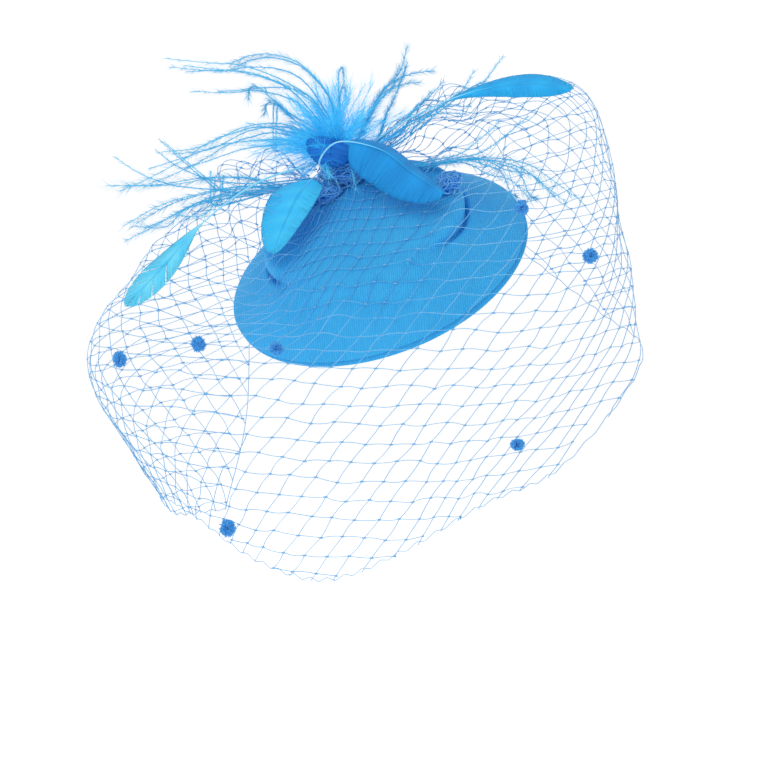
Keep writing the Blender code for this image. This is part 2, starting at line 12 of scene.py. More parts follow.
import bpy
import numpy as np
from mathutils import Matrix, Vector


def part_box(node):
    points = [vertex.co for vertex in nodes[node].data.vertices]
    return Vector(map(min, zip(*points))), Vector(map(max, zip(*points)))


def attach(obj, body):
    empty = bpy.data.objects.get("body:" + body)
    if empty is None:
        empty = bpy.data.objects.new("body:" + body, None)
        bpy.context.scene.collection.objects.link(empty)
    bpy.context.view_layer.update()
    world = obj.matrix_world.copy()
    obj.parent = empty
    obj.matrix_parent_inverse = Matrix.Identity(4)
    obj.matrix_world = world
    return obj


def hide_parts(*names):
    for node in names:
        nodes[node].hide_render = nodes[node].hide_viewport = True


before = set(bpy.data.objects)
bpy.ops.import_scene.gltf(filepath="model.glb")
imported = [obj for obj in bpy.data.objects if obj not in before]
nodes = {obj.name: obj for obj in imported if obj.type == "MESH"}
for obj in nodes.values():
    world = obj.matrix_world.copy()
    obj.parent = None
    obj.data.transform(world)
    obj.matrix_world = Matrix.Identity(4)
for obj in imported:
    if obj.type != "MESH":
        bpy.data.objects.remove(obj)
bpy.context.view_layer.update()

MM = 0.001

# %% [markdown]
# ## Camera, floor and light
#
# The picture was taken level and from far away, so a long lens stands 3 metres off and looks along +Y. A
# pale sheet that curves up behind makes floor and backdrop in one, and large soft lamps fill the shadows.

# %% Camera
CAMERA_AWAY = 3000.0
AIM_X = 3.0
AIM_Z = -62.0
PICTURE_WIDTH = 399.4
SENSOR = 36.0

camera_data = bpy.data.cameras.new("camera")
camera_data.sensor_width = SENSOR
camera_data.lens = SENSOR * CAMERA_AWAY / PICTURE_WIDTH
camera = bpy.data.objects.new("camera", camera_data)
camera.location = (AIM_X * MM, -CAMERA_AWAY * MM, AIM_Z * MM)
camera.rotation_euler = (math.radians(90), 0, 0)
bpy.context.scene.collection.objects.link(camera)
bpy.context.scene.camera = camera
print("lens", round(camera_data.lens, 1), "mm")


# %% Plain finishes
def principled(name, colour, roughness, **sockets):
    """A Principled material; every further socket is a constant set on the shader itself."""
    made = bpy.data.materials.new(name)
    made.use_nodes = True
    shader = made.node_tree.nodes["Principled BSDF"]
    shader.inputs["Base Color"].default_value = (*colour, 1)
    shader.inputs["Roughness"].default_value = roughness
    for socket, value in sockets.items():
        shader.inputs[socket.replace("_", " ")].default_value = value
    return made


# %% Floor and lamps
FLOOR_Z = -190.0
FLOOR_HALF = 5000.0
FLOOR_FRONT = -4000.0
BACKDROP_Y = 3600.0
BACKDROP_BEND = 700.0
BACKDROP_TOP = 3600.0
SKY_STRENGTH = 0.56


def backdrop_mesh():
    """Profile in y and z, carried along x: flat floor, quarter circle of BACKDROP_BEND, then straight up."""
    turn = np.linspace(0, math.pi / 2, 24)
    bend = BACKDROP_Y + BACKDROP_BEND * np.sin(turn)
    y = np.concatenate([[FLOOR_FRONT], bend, [BACKDROP_Y + BACKDROP_BEND]])
    z = np.concatenate([[0.0], BACKDROP_BEND * (1 - np.cos(turn)), [BACKDROP_TOP]]) + FLOOR_Z
    left = np.stack([np.full_like(y, -FLOOR_HALF), y, z], axis=-1)
    right = left * (-1, 1, 1)
    points = np.concatenate([left, right]) * MM
    k = np.arange(len(y) - 1)
    faces = np.stack([k, k + len(y), k + len(y) + 1, k + 1], axis=-1)
    mesh = bpy.data.meshes.new("floor")
    mesh.from_pydata(points.tolist(), [], faces.tolist())
    mesh.shade_smooth()
    return mesh


floor = bpy.data.objects.new("floor", backdrop_mesh())
paper = principled("pale_paper", (0.93, 0.93, 0.93), 0.9, Emission_Strength=0.32, Emission_Color=(1, 1, 1, 1))
floor.data.materials.append(paper)
bpy.context.scene.collection.objects.link(floor)

LAMPS = (
    dict(name="key", place=(-700, -1300, 1150), size=2100, watts=13),
    dict(name="fill", place=(1200, -1400, 300), size=1500, watts=3.4),
    dict(name="backdrop", place=(0, 1500, 2300), size=2200, watts=12),
)

for row in LAMPS:
    lamp_data = bpy.data.lights.new(row["name"], "AREA")
    lamp_data.size = row["size"] * MM
    lamp_data.energy = row["watts"]
    lamp = bpy.data.objects.new(row["name"], lamp_data)
    lamp.location = [v * MM for v in row["place"]]
    aim = -lamp.location
    lamp.rotation_euler = aim.to_track_quat("-Z", "Y").to_euler()
    bpy.context.scene.collection.objects.link(lamp)

world = bpy.data.worlds.new("studio")
world.use_nodes = True
world.node_tree.nodes["Background"].inputs["Color"].default_value = (1, 1, 1, 1)
world.node_tree.nodes["Background"].inputs["Strength"].default_value = SKY_STRENGTH
bpy.context.scene.world = world
bpy.context.scene.view_settings.view_transform = "Standard"

# %% [markdown]
# ## From arrays to pieces
#
# Most of this hat is strands: threads, barbs, quills. One function sweeps a small ring of points along
# many paths at once and closes both ends, so that a thousand strands are one mesh. Another writes any
# shape into Blender.


# %% Curves through points
def unit(vectors):
    """Vectors divided by their lengths."""
    return vectors / np.maximum(np.linalg.norm(vectors, axis=-1, keepdims=True), 1e-9)


def blend_step(a, b, c, d, t):
    """Catmull-Rom step from b to c, at t from 0 to 1, with a and d as the points on either side."""
    return 0.5 * (2 * b + (c - a) * t + (2 * a - 5 * b + 4 * c - d) * t ** 2
                  + (3 * b - a - 3 * c + d) * t ** 3)


def curve_at(rows, share):
    """Smooth curve through rows of points along the first axis, read at shares from 0 to 1."""
    rows = np.asarray(rows, dtype=float)
    rows = np.concatenate([2 * rows[:1] - rows[1:2], rows, 2 * rows[-1:] - rows[-2:-1]])
    place = np.clip(np.asarray(share, dtype=float), 0, 1) * (len(rows) - 3)
    first = np.minimum(place.astype(int), len(rows) - 4)
    t = (place - first).reshape(place.shape + (1,) * (rows.ndim - 1))
    return blend_step(*(rows[first + k] for k in range(4)), t)


# %% Strands
def swept(paths, half_width, half_depth=None, facing=(0, -1, 0), sides=3, tone=0.5):
    """Closed strands: at each station of each path a ring of centre + side*width*cos + normal*depth*sin.

    paths is (strands, stations, 3). Widths, depths and tone are numbers, or arrays (strands, stations).
    """
    paths = np.asarray(paths, dtype=float)
    count, stations = paths.shape[:2]
    tangent = unit(np.gradient(paths, axis=1))
    side = unit(np.cross(tangent, np.broadcast_to(facing, paths.shape)))
    normal = np.cross(side, tangent)
    half_depth = half_width if half_depth is None else half_depth
    wide = np.broadcast_to(half_width, (count, stations))[..., None, None]
    deep = np.broadcast_to(half_depth, (count, stations))[..., None, None]
    turn = 2 * math.pi * np.arange(sides)[:, None] / sides
    ring = paths[:, :, None] + wide * np.cos(turn) * side[:, :, None]
    ring = ring + deep * np.sin(turn) * normal[:, :, None]
    here = np.arange(count * stations * sides).reshape(count, stations, sides)
    after = np.roll(here, -1, axis=2)
    walls = [here[:, :-1], here[:, 1:], after[:, 1:], after[:, :-1]]
    walls = np.stack(walls, axis=-1).reshape(-1, 4)
    caps = np.concatenate([here[:, 0], here[:, -1, ::-1]])
    tones = np.broadcast_to(tone, (count, stations)).repeat(sides)
    return dict(points=ring.reshape(-1, 3), faces=[walls, caps], tone=tones)


def joined(shapes):
    """Several shapes as one, with face numbers moved on by the points before them."""
    starts = np.cumsum([0] + [len(shape["points"]) for shape in shapes])
    faces = [group + start for shape, start in zip(shapes, starts) for group in shape["faces"]]
    whole = {key: np.concatenate([shape[key] for shape in shapes]) for key in ("points", "tone")}
    return dict(whole, faces=faces)


# %% Shapes into Blender
def piece(name, shape, finish, stands_for=()):
    """One mesh piece, in place, that rides on the hat's body. Each face group has its own corner count."""
    mesh = bpy.data.meshes.new(name)
    corners = np.concatenate([group.ravel() for group in shape["faces"]])
    sizes = np.concatenate([np.full(len(group), group.shape[1]) for group in shape["faces"]])
    mesh.vertices.add(len(shape["points"]))
    mesh.loops.add(len(corners))
    mesh.polygons.add(len(sizes))
    mesh.vertices.foreach_set("co", (shape["points"] * MM).ravel())
    mesh.loops.foreach_set("vertex_index", corners)
    mesh.polygons.foreach_set("loop_start", np.cumsum(sizes) - sizes)
    mesh.polygons.foreach_set("use_smooth", np.ones(len(sizes), dtype=bool))
    mesh.update(calc_edges=True)
    mesh.attributes.new("tone", "FLOAT", "POINT").data.foreach_set("value", shape["tone"])
    made = bpy.data.objects.new(name, mesh)
    bpy.context.scene.collection.objects.link(made)
    made.data.materials.append(finish)
    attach(made, "root")
    if stands_for:
        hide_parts(*stands_for)
    print(name, int((sizes - 2).sum()), "triangles")


# %% [markdown]
# ## The hat's own axes
#
# The hat is tilted, so its round forms are simplest in its own axes: u along the rim, v towards the back
# and w up out of the crown. A row of three numbers times HAT_AXES gives the place in the world.

# %% Tilt and base sizes
RIM_RADIUS = 79.6
CREASE_RADIUS = 52.0
CREST_HEIGHT = 28.5
CREASE_DEPTH = 10.5
CREASE_LEAN = 2.6
CREST_INSET = 1.2
CREST_ROLL = 1.3
DOME_RISE = 7.5
BRIM_CROWNING = 2.2
COVER_WALL = 2.0
TILT_FORWARD = 33.2
TILT_SIDE = -22.26
KNOT_ALONG = 2.0
KNOT_BACK = 39.0
KNOT_RADIUS = 12.0
KNOT_GAP = 0.3
KNOT_SHARES = np.array([1.0, 0.85, 0.6])


def tilt_axes():
    """Rows: the rim's long axis, backwards, and up out of the crown, in the world."""
    forward = math.radians(TILT_FORWARD)
    side = math.radians(TILT_SIDE)
    along = np.array([math.cos(side), 0.0, -math.sin(side)])
    level = math.cos(forward)
    up = np.array([level * math.sin(side), -math.sin(forward), level * math.cos(side)])
    return np.stack([along, np.cross(up, along), up])


HAT_AXES = tilt_axes()
CREASE_ANGLES = np.radians([0, 40, 90, 135, 165, 200, 235, 270, 300, 335])
CREASE_SHARES = np.array([0.95, 1.00, 0.85, 0.95, 1.00, 0.45, 0.10, 0.05, 0.35, 0.85])


def crease_depth(angle):
    """Depth of the crown's crease at angles round the hat: an eased step of the table's shares."""
    ring = np.concatenate([CREASE_ANGLES - 2 * math.pi, CREASE_ANGLES, CREASE_ANGLES + 2 * math.pi])
    share = np.interp(np.mod(angle, 2 * math.pi), ring, np.tile(CREASE_SHARES, 3))
    return CREASE_DEPTH * share * share * (3 - 2 * share)


def brim_height(radius, foot):
    """Straight rise from the rim to the crease's foot, with a sine's crowning on top."""
    share = (RIM_RADIUS - radius) / (RIM_RADIUS - CREASE_RADIUS)
    return foot * share + BRIM_CROWNING * np.sin(math.pi * np.clip(share, 0, 1))


def base_height(u, v):
    """Height of the base's upper face over the rim's plane."""
    radius = np.hypot(u, v)
    foot = CREST_HEIGHT - crease_depth(np.arctan2(v, u))
    crown = CREST_HEIGHT + DOME_RISE * (1 - (radius / CREASE_RADIUS) ** 2)
    return np.where(radius < CREASE_RADIUS + CREASE_LEAN, crown, brim_height(radius, foot))


knot_place = base_height(KNOT_ALONG, KNOT_BACK) + KNOT_RADIUS * KNOT_SHARES[2] + KNOT_GAP
KNOT = np.array([KNOT_ALONG, KNOT_BACK, knot_place]) @ HAT_AXES
print("knot's middle at", KNOT.round(1), "mm")

# %% [markdown]
# ## Ribbed cloth
#
# The base is covered in a matt crepe with fine upright ribs and a pebbled ground. Ribs could be modelled,
# but they stand only a fraction of a millimetre high, so a bump is enough. The group below puts out only a
# height and a tone, and the shader stays in the material.


# %% Node group helpers
def new_group(name, takes, gives):
    """Empty shader group with float inputs and outputs, plus a vector input named Place."""
    group = bpy.data.node_groups.new(name, "ShaderNodeTree")
    group.interface.new_socket("Place", in_out="INPUT", socket_type="NodeSocketVector")
    for socket, value in takes.items():
        made = group.interface.new_socket(socket, in_out="INPUT", socket_type="NodeSocketFloat")
        made.default_value = value
    for socket in gives:
        group.interface.new_socket(socket, in_out="OUTPUT", socket_type="NodeSocketFloat")
    return group, group.nodes.new("NodeGroupInput"), group.nodes.new("NodeGroupOutput")


def math_node(tree, operation, first, second=0.0):
    """A Math node whose inputs are sockets or numbers; gives its output socket."""
    node = tree.nodes.new("ShaderNodeMath")
    node.operation = operation
    for socket, value in zip(node.inputs, (first, second)):
        if isinstance(value, (int, float)):
            socket.default_value = value
        else:
            tree.links.new(value, socket)
    return node.outputs[0]


def noise_node(tree, place, scale, detail=3.0):
    """A noise texture over a place; gives its factor."""
    node = tree.nodes.new("ShaderNodeTexNoise")
    node.inputs["Scale"].default_value = scale
    node.inputs["Detail"].default_value = detail
    tree.links.new(place, node.inputs["Vector"])
    return node.outputs["Fac"]


# %% Group: ribbed crepe
RIB_PITCH = 1.15


def ribbed_crepe_group():
    """Height of upright ribs, sine of x over the pitch, wavered by noise, mixed with a pebbled noise."""
    group, taken, given = new_group("ribbed_crepe", {"Rib Share": 0.6, "Waver": 0.9}, ("Height", "Tone"))
    place = taken.outputs["Place"]
    split = group.nodes.new("ShaderNodeSeparateXYZ")
    group.links.new(place, split.inputs[0])
    waver = math_node(group, "MULTIPLY", noise_node(group, place, 260.0), taken.outputs["Waver"])
    lean = math_node(group, "MULTIPLY", split.outputs["Z"], 0.08)
    across = math_node(group, "ADD", split.outputs["X"], lean)
    phase = math_node(group, "MULTIPLY", across, 2 * math.pi / (RIB_PITCH * MM))
    wavered = math_node(group, "ADD", phase, math_node(group, "MULTIPLY", waver, 6.0))
    wave = math_node(group, "SINE", wavered)
    rib = math_node(group, "MULTIPLY", wave, taken.outputs["Rib Share"])
    pebble = noise_node(group, place, 900.0, 2.0)
    height = math_node(group, "ADD", rib, math_node(group, "MULTIPLY", pebble, 1.6))
    group.links.new(height, given.inputs["Height"])
    streak = math_node(group, "MULTIPLY", wave, 0.2)
    tone = math_node(group, "ADD", streak, math_node(group, "MULTIPLY", pebble, 0.5))
    patch = math_node(group, "MULTIPLY", noise_node(group, place, 28.0), 0.5)
    group.links.new(math_node(group, "ADD", tone, patch), given.inputs["Tone"])
    return group


# %% Material helpers
SHEEN_BLUE = (0.3, 0.75, 1.0, 1)


def object_place(tree):
    """The piece's own coordinates, which are the world's, because every piece lies at the origin."""
    return tree.nodes.new("ShaderNodeTexCoord").outputs["Object"]


def strand_tone(tree):
    """The tone that each strand carries, as a socket."""
    node = tree.nodes.new("ShaderNodeAttribute")
    node.attribute_name = "tone"
    return node.outputs["Fac"]


def mix_colours(tree, factor, dark, light):
    """Colour between two constants by a factor socket; gives the colour socket."""
    node = tree.nodes.new("ShaderNodeMix")
    node.data_type = "RGBA"
    node.inputs["A"].default_value = (*dark, 1)
    node.inputs["B"].default_value = (*light, 1)
    tree.links.new(factor, node.inputs["Factor"])
    return node.outputs["Result"]


def add_bump(tree, height, depth_mm):
    """Feeds a height socket through a Bump node into the shader's Normal."""
    bump = tree.nodes.new("ShaderNodeBump")
    bump.inputs["Distance"].default_value = depth_mm * MM
    bump.inputs["Strength"].default_value = 1.0
    tree.links.new(height, bump.inputs["Height"])
    tree.links.new(bump.outputs["Normal"], tree.nodes["Principled BSDF"].inputs["Normal"])


def ribbed_cloth():
    """Matt blue crepe: two blues by tone, ribs and pebbles by bump, and a soft sheen."""
    made = principled("ribbed_cloth", (0.05, 0.4, 0.82), 0.82, Sheen_Weight=0.12, Sheen_Roughness=0.4,
                      Sheen_Tint=SHEEN_BLUE)
    tree = made.node_tree
    crepe = tree.nodes.new("ShaderNodeGroup")
    crepe.node_tree = CREPE
    tree.links.new(object_place(tree), crepe.inputs["Place"])
    colour = mix_colours(tree, crepe.outputs["Tone"], (0.012, 0.34, 0.76), (0.055, 0.52, 0.98))
    tree.links.new(colour, tree.nodes["Principled BSDF"].inputs["Base Color"])
    add_bump(tree, crepe.outputs["Height"], 0.22)
    return made


CREPE = ribbed_crepe_group()
CLOTH = ribbed_cloth()

# %% [markdown]
# ## The covered base
#
# On the real hat a stiff shell is pressed into a brim and a low crown, and cloth is pulled over it. The
# surface is a profile of radius and height that changes with the angle round the hat. The underside is
# the same profile moved along its normal, and a half circle turns the edge.

# %% Base profile
BASE_AROUND = 288
BASE_STATIONS = 96
EDGE_STATIONS = 8
GROOVE = 4.2
BRIM_STATIONS = np.array([0.0, 0.25, 0.5, 0.75, 0.87])
DOME_STATIONS = np.array([0.84, 0.6, 0.3, 0.02])
SOFT_KEYS = [0, 2, 4, 8, 10, 11]  # the key points that a soft fold keeps
SHOWN_WALL = 0.8 * COVER_WALL


def upper_profile(angle):
    """Key points of radius and height, rim first and middle last, then a smooth curve through them."""
    depth = crease_depth(angle)
    foot = CREST_HEIGHT - depth
    lean = CREASE_LEAN * depth / CREASE_DEPTH
    radius = RIM_RADIUS + (CREASE_RADIUS - RIM_RADIUS) * BRIM_STATIONS[:, None] + 0 * angle
    crease = [CREASE_RADIUS + 0 * angle, CREASE_RADIUS + lean, CREASE_RADIUS - CREST_INSET + 0.4 * lean]
    levels = [foot - GROOVE * depth / CREASE_DEPTH, foot + 0.45 * depth, foot + 0.95 * depth + CREST_ROLL]
    dome = DOME_STATIONS[:, None] + 0 * angle
    dome_height = CREST_HEIGHT + DOME_RISE * (1 - dome ** 2)
    radii = np.concatenate([radius, crease, CREASE_RADIUS * dome])
    heights = np.concatenate([brim_height(radius, foot), levels, dome_height])
    keys = np.stack([radii, heights], axis=-1)
    marks = np.linspace(0, 1, BASE_STATIONS)
    sharp = curve_at(keys, marks)
    soft = curve_at(keys[SOFT_KEYS], marks)
    share = np.clip(depth / CREASE_DEPTH * 1.6, 0, 1)[:, None]
    return soft + (sharp - soft) * share * share * (3 - 2 * share)


def shell_profile(angle, wall):
    """Underside from the middle out, half circle round the edge, upper side back to the middle.

    The upper profile runs inwards, so (rise, -run) of its direction is the normal that points up and out.
    """
    upper = upper_profile(angle)
    along = unit(np.gradient(upper, axis=0))
    under = upper - wall * np.stack([along[..., 1], -along[..., 0]], axis=-1)
    middle = (upper[0] + under[0]) / 2
    arm = under[0] - middle
    out = np.stack([-arm[..., 1], arm[..., 0]], axis=-1)
    turn = np.linspace(0, math.pi, EDGE_STATIONS + 2)[1:-1, None, None]
    edge = middle + arm * np.cos(turn) + out * np.sin(turn)
    return np.concatenate([under[::-1], edge, upper])


def turned(profile, angle):
    """Profile of radius and height, turned round the hat's axis into world points."""
    radius, height = profile[..., 0], profile[..., 1]
    return np.stack([radius * np.cos(angle), radius * np.sin(angle), height], axis=-1) @ HAT_AXES


def ring_grid(rows, closed_ends=True):
    """Quads between rings of points. The ends are one face each, or the last ring joins the first."""
    count, around = rows.shape[:2]
    here = np.arange(count * around).reshape(count, around)
    if not closed_ends:
        here = np.concatenate([here, here[:1]])
    after = np.roll(here, -1, axis=1)
    walls = np.stack([here[:-1], after[:-1], after[1:], here[1:]], axis=-1).reshape(-1, 4)
    faces = [walls]
    if closed_ends:
        faces += [here[:1, ::-1], here[-1:]]
    flat = rows.reshape(-1, 3)
    return dict(points=flat, faces=faces, tone=np.full(len(flat), 0.5))


# %% Covered base
angle = np.linspace(0, 2 * math.pi, BASE_AROUND, endpoint=False)
base_rows = turned(shell_profile(angle, SHOWN_WALL), angle)
piece("covered_base", ring_grid(base_rows), CLOTH, ["crown_and_brim"])

# %% [markdown]
# ## The turned edge under the brim
#
# The photograph shows a second thin line just under the brim's edge, where the under cloth is folded
# back. It is a narrow ring with a rounded lip. On the side where that line shows, the lip stands out a
# little further than the brim.

# %% Brim facing
FACING_WALL = 0.9
FACING_WIDTH = 11.0
FACING_LIP = 0.9
FACING_GAP = 0.45
FACING_SIDES = 28
LIP_WIDEST_AT = 335.0


def facing_rows(angle):
    """Rounded strip that follows the brim's underside, from the lip inwards and back."""
    foot = CREST_HEIGHT - crease_depth(angle)
    slope = (foot + math.pi * BRIM_CROWNING) / (RIM_RADIUS - CREASE_RADIUS)
    drop = SHOWN_WALL * np.sqrt(1 + slope ** 2) + FACING_GAP
    turn = np.linspace(0, 2 * math.pi, FACING_SIDES, endpoint=False)[:, None]
    lip = FACING_LIP * (0.3 + 0.7 * np.cos(angle - math.radians(LIP_WIDEST_AT)))
    middle = RIM_RADIUS + lip - FACING_WIDTH / 2
    across = np.sign(np.cos(turn)) * np.abs(np.cos(turn)) ** 0.5
    radius = middle + FACING_WIDTH / 2 * across + 0 * angle
    height = brim_height(radius, foot) - drop - FACING_WALL / 2 + FACING_WALL / 2 * np.sin(turn)
    return turned(np.stack([radius, height], axis=-1), angle)


facing_ring = ring_grid(facing_rows(angle), closed_ends=False)
piece("brim_binding", facing_ring, CLOTH, ["brim_facing"])

# %% [markdown]
# ## The veil's surface
#
# The veil is one strip of netting, gathered at the knot. Its surface has two parameters: around runs
# along the strip and down runs from the knot to the free edge. Ribs in a table give where it rises, turns
# and hangs, and a smooth curve through the ribs gives everything between.

# %% Veil ribs
VEIL_AXIS_X = -9.0
VEIL_REACH = 142.0
VEIL_RISE = 94.0
VEIL_DROP = 162.0
GATHER_GAP = 2.6
RIB_COLUMNS = ("angle", "rise_out", "rise_up", "shoulder_out", "shoulder_up",
               "belly_out", "belly_down", "edge_out", "edge_down", "lead")
VEIL_RIBS = np.array([
    (130, 0.34, 0.50, 0.62, 0.04, 0.67, 0.48, 0.80, 0.80, 0),
    (155, 0.44, 0.58, 0.66, 0.12, 0.93, 0.38, 0.75, 0.81, 0),
    (180, 0.42, 0.46, 0.71, 0.15, 1.00, 0.30, 0.73, 0.75, 0),
    (205, 0.31, 0.20, 0.50, -0.14, 0.88, 0.36, 0.67, 0.80, 0),
    (232, 0.24, 0.10, 0.42, -0.26, 0.66, 0.41, 0.61, 0.94, 0),
    (258, 0.24, 0.10, 0.42, -0.22, 0.59, 0.43, 0.60, 1.00, 0),
    (284, 0.27, 0.20, 0.44, -0.06, 0.60, 0.34, 0.63, 0.91, 16),
    (308, 0.40, 0.62, 0.66, 0.48, 0.80, 0.21, 0.73, 0.76, 54),
    (332, 0.40, 0.80, 0.82, 0.78, 0.93, 0.06, 0.83, 0.64, 40),
    (356, 0.33, 0.93, 0.80, 1.00, 0.96, -0.11, 1.03, 0.31, 24),
    (380, 0.31, 0.90, 0.74, 0.92, 0.92, -0.18, 0.94, 0.15, 10),
    (402, 0.31, 0.80, 0.62, 0.77, 0.77, -0.26, 0.79, -0.06, 0),
], dtype=float)


def veil_surface(around, down):
    """World points of the bare veil: a curve down each rib over knot, rise, shoulder, belly and edge."""
    around, down = np.broadcast_arrays(around, down)
    rib = dict(zip(RIB_COLUMNS, np.moveaxis(curve_at(VEIL_RIBS, around), -1, 0)))
    gather = KNOT_RADIUS + GATHER_GAP
    turn = np.radians(rib["angle"] + rib["lead"])
    u = KNOT_ALONG + gather * np.cos(turn)
    v = KNOT_BACK + gather * np.sin(turn)
    stations = [np.stack([u, v, base_height(u, v) + GATHER_GAP], axis=-1) @ HAT_AXES]
    steps = (("rise_out", "rise_up", VEIL_RISE, 0.75), ("shoulder_out", "shoulder_up", VEIL_RISE, 0.5),
             ("belly_out", "belly_down", -VEIL_DROP, 0.25), ("edge_out", "edge_down", -VEIL_DROP, 0.0))
    for out, level, scale, lead in steps:
        turn = np.radians(rib["angle"] + lead * rib["lead"])
        reach = VEIL_REACH * rib[out]
        spot = [VEIL_AXIS_X + reach * np.cos(turn), reach * np.sin(turn), scale * rib[level]]
        stations.append(np.stack(spot, axis=-1))
    before = 2 * stations[0] - stations[1]
    after = 2 * stations[-1] - stations[-2]
    rows = np.stack([before, *stations, after])
    place = np.clip(down, 0, 1) * (len(stations) - 1)
    first = np.minimum(place.astype(int), len(stations) - 2)
    t = (place - first)[..., None]
    picked = [np.take_along_axis(rows, (first + k)[None, ..., None], axis=0)[0] for k in range(4)]
    return blend_step(*picked, t)


def lay_over_hat(points, lift):
    """Raise world points that would sink into the hat, so that the net lies over crown, brim and rim."""
    local = points @ HAT_AXES.T
    u, v, w = local[..., 0], local[..., 1], local[..., 2]
    radius = np.maximum(np.hypot(u, v), 1e-6)
    outer = RIM_RADIUS + lift
    over = (radius < outer) & (w > -0.3 * RIM_RADIUS)
    low = over & (w < base_height(u, v) + lift)
    near_rim = low & (w < lift)
    push = np.where(near_rim, outer / radius, 1.0)
    height = np.where(low & ~near_rim, base_height(u, v) + lift, w)
    return np.stack([u * push, v * push, height], axis=-1) @ HAT_AXES


# %% Veil measures
GRID_AROUND = 331
GRID_DOWN = 201
GRID_LIFT = 2.0
BELLY_DOWN = 0.72

grid_around = np.linspace(0, 1, GRID_AROUND)
grid_down = np.linspace(0, 1, GRID_DOWN)
veil_grid = lay_over_hat(veil_surface(grid_around[:, None], grid_down[None, :]), GRID_LIFT)
rib_steps = np.linalg.norm(np.diff(veil_grid, axis=1), axis=-1)
rib_length = np.concatenate([np.zeros((GRID_AROUND, 1)), np.cumsum(rib_steps, axis=1)], axis=1)
belly = veil_grid[:, int(BELLY_DOWN * (GRID_DOWN - 1))]
belly_steps = np.linalg.norm(np.diff(belly[:, :2], axis=0), axis=-1)
strip_length = np.concatenate([[0], np.cumsum(belly_steps)])
strip_depth = rib_length[:, -1].max()
print("netting strip about", round(strip_length[-1]), "mm long and up to", round(strip_depth), "mm deep")

# %% [markdown]
# ## Netting
#
# The net is knotted from thread 0.4 millimetres thick. One family of threads runs nearly level round the
# wearer, and the other climbs across it. Columns are counted along the strip, level with the ground, and
# rows are counted up each rib from its free end, starting at that end's own height. Where the veil hangs
# straight, a row then keeps one height but for the slight slope that a table gives, and where the veil is
# gathered the cells crowd together, as real ones do. Each side of a cell is a short strand, and a small
# lump at each crossing stands for its knot.

# %% Net lattice
CELL_ALONG = 12.0
CELL_RISE = 9.6
CELL_LEAN = 7.2
FIRST_DEPTH = 3.0
THREAD_RADIUS = 0.20
THREAD_STEPS = 6
CROSSING_RADIUS = 0.5
NET_LIFT = 1.0
EDGE_THREAD_STEPS = 600
HAT_SHADE_RANGE = 14.0
KNOT_JITTER = 1.1
THREAD_BOW = 0.7
THREAD_FACING = (0.3, -0.5, 0.8)
LOOSE_REACH = 1.2
LOOSE_END = 0.05
SPARE_ROWS = 4
CRUMPLE_DEPTH = 50.0
CRUMPLE_SPREAD = 40.0
NORMAL_STEP = 0.004
ZIGZAG = 0.006
STRIP_END_FROM = 0.12
CROSSING_HALF = 1.1
CROSSING_SWELL = np.array([0.45, 0.9, 1.0, 0.9, 0.45])
ROW_SLOPES = (
    dict(angle=130, slope=-0.05),
    dict(angle=185, slope=-0.12),
    dict(angle=215, slope=-0.20),
    dict(angle=270, slope=-0.03),
    dict(angle=310, slope=0.12),
    dict(angle=350, slope=0.10),
    dict(angle=380, slope=-0.20),
    dict(angle=402, slope=-0.25),
)

chance = np.random.default_rng(7)
DEPTH_STEP = 1.0
depth_marks = np.arange(0, rib_length.max() + 2 * DEPTH_STEP, DEPTH_STEP)
down_at_depth = np.array([np.interp(depth_marks, row, grid_down, right=2.0) for row in rib_length])
grid_angle = curve_at(VEIL_RIBS[:, 0], grid_around)
slope_angles = [row["angle"] for row in ROW_SLOPES]
slopes = np.interp(grid_angle, slope_angles, [row["slope"] for row in ROW_SLOPES])
row_shift = np.concatenate([[0], np.cumsum(np.diff(strip_length) * (slopes[1:] + slopes[:-1]) / 2)])
free_height = veil_grid[:, -1, 2] + rib_length[:, -1]


def table_at(table, first, second):
    """Bilinear reading of a 2D table at fractional row and column numbers."""
    i = np.clip(first.astype(int), 0, table.shape[0] - 2)
    j = np.clip(second.astype(int), 0, table.shape[1] - 2)
    s, t = first - i, second - j
    near = table[i, j] * (1 - t) + table[i, j + 1] * t
    far = table[i + 1, j] * (1 - t) + table[i + 1, j + 1] * t
    return near * (1 - s) + far * s


def strip_place(along, height):
    """Shares around and down, and depth from the knot, for places along the strip and up its free end."""
    around = np.interp(along, strip_length, grid_around)
    depth = np.interp(around, grid_around, free_height - row_shift) - height
    down = table_at(down_at_depth, around * (GRID_AROUND - 1), np.maximum(depth, 0) / DEPTH_STEP)
    return around, down, depth


def crumple(along, depth):
    """Sums of sines that ripple the net: strongest where it leaves the knot, slight in the hanging part."""
    near = np.exp(-((depth - CRUMPLE_DEPTH) / CRUMPLE_SPREAD) ** 2)
    wave = np.sin(along / 9 + depth / 13) + np.sin(along / 15 - depth / 7 + 2)
    wave = wave + 0.6 * np.sin(depth / 5 + along / 23)
    return (0.5 + 2.6 * near) * wave


def net_points(along, height):
    """World points of the net: the veil's surface, crumpled along its normal, then laid over the hat."""
    around, down, depth = strip_place(along, height)
    down = np.minimum(down, 1.0)
    across = veil_surface(around + NORMAL_STEP, down) - veil_surface(around - NORMAL_STEP, down)
    lower = veil_surface(around, np.minimum(down + NORMAL_STEP, 1))
    fall = lower - veil_surface(around, down - NORMAL_STEP)
    points = veil_surface(around, down) + unit(np.cross(fall, across)) * crumple(along, depth)[..., None]
    return lay_over_hat(points, NET_LIFT)


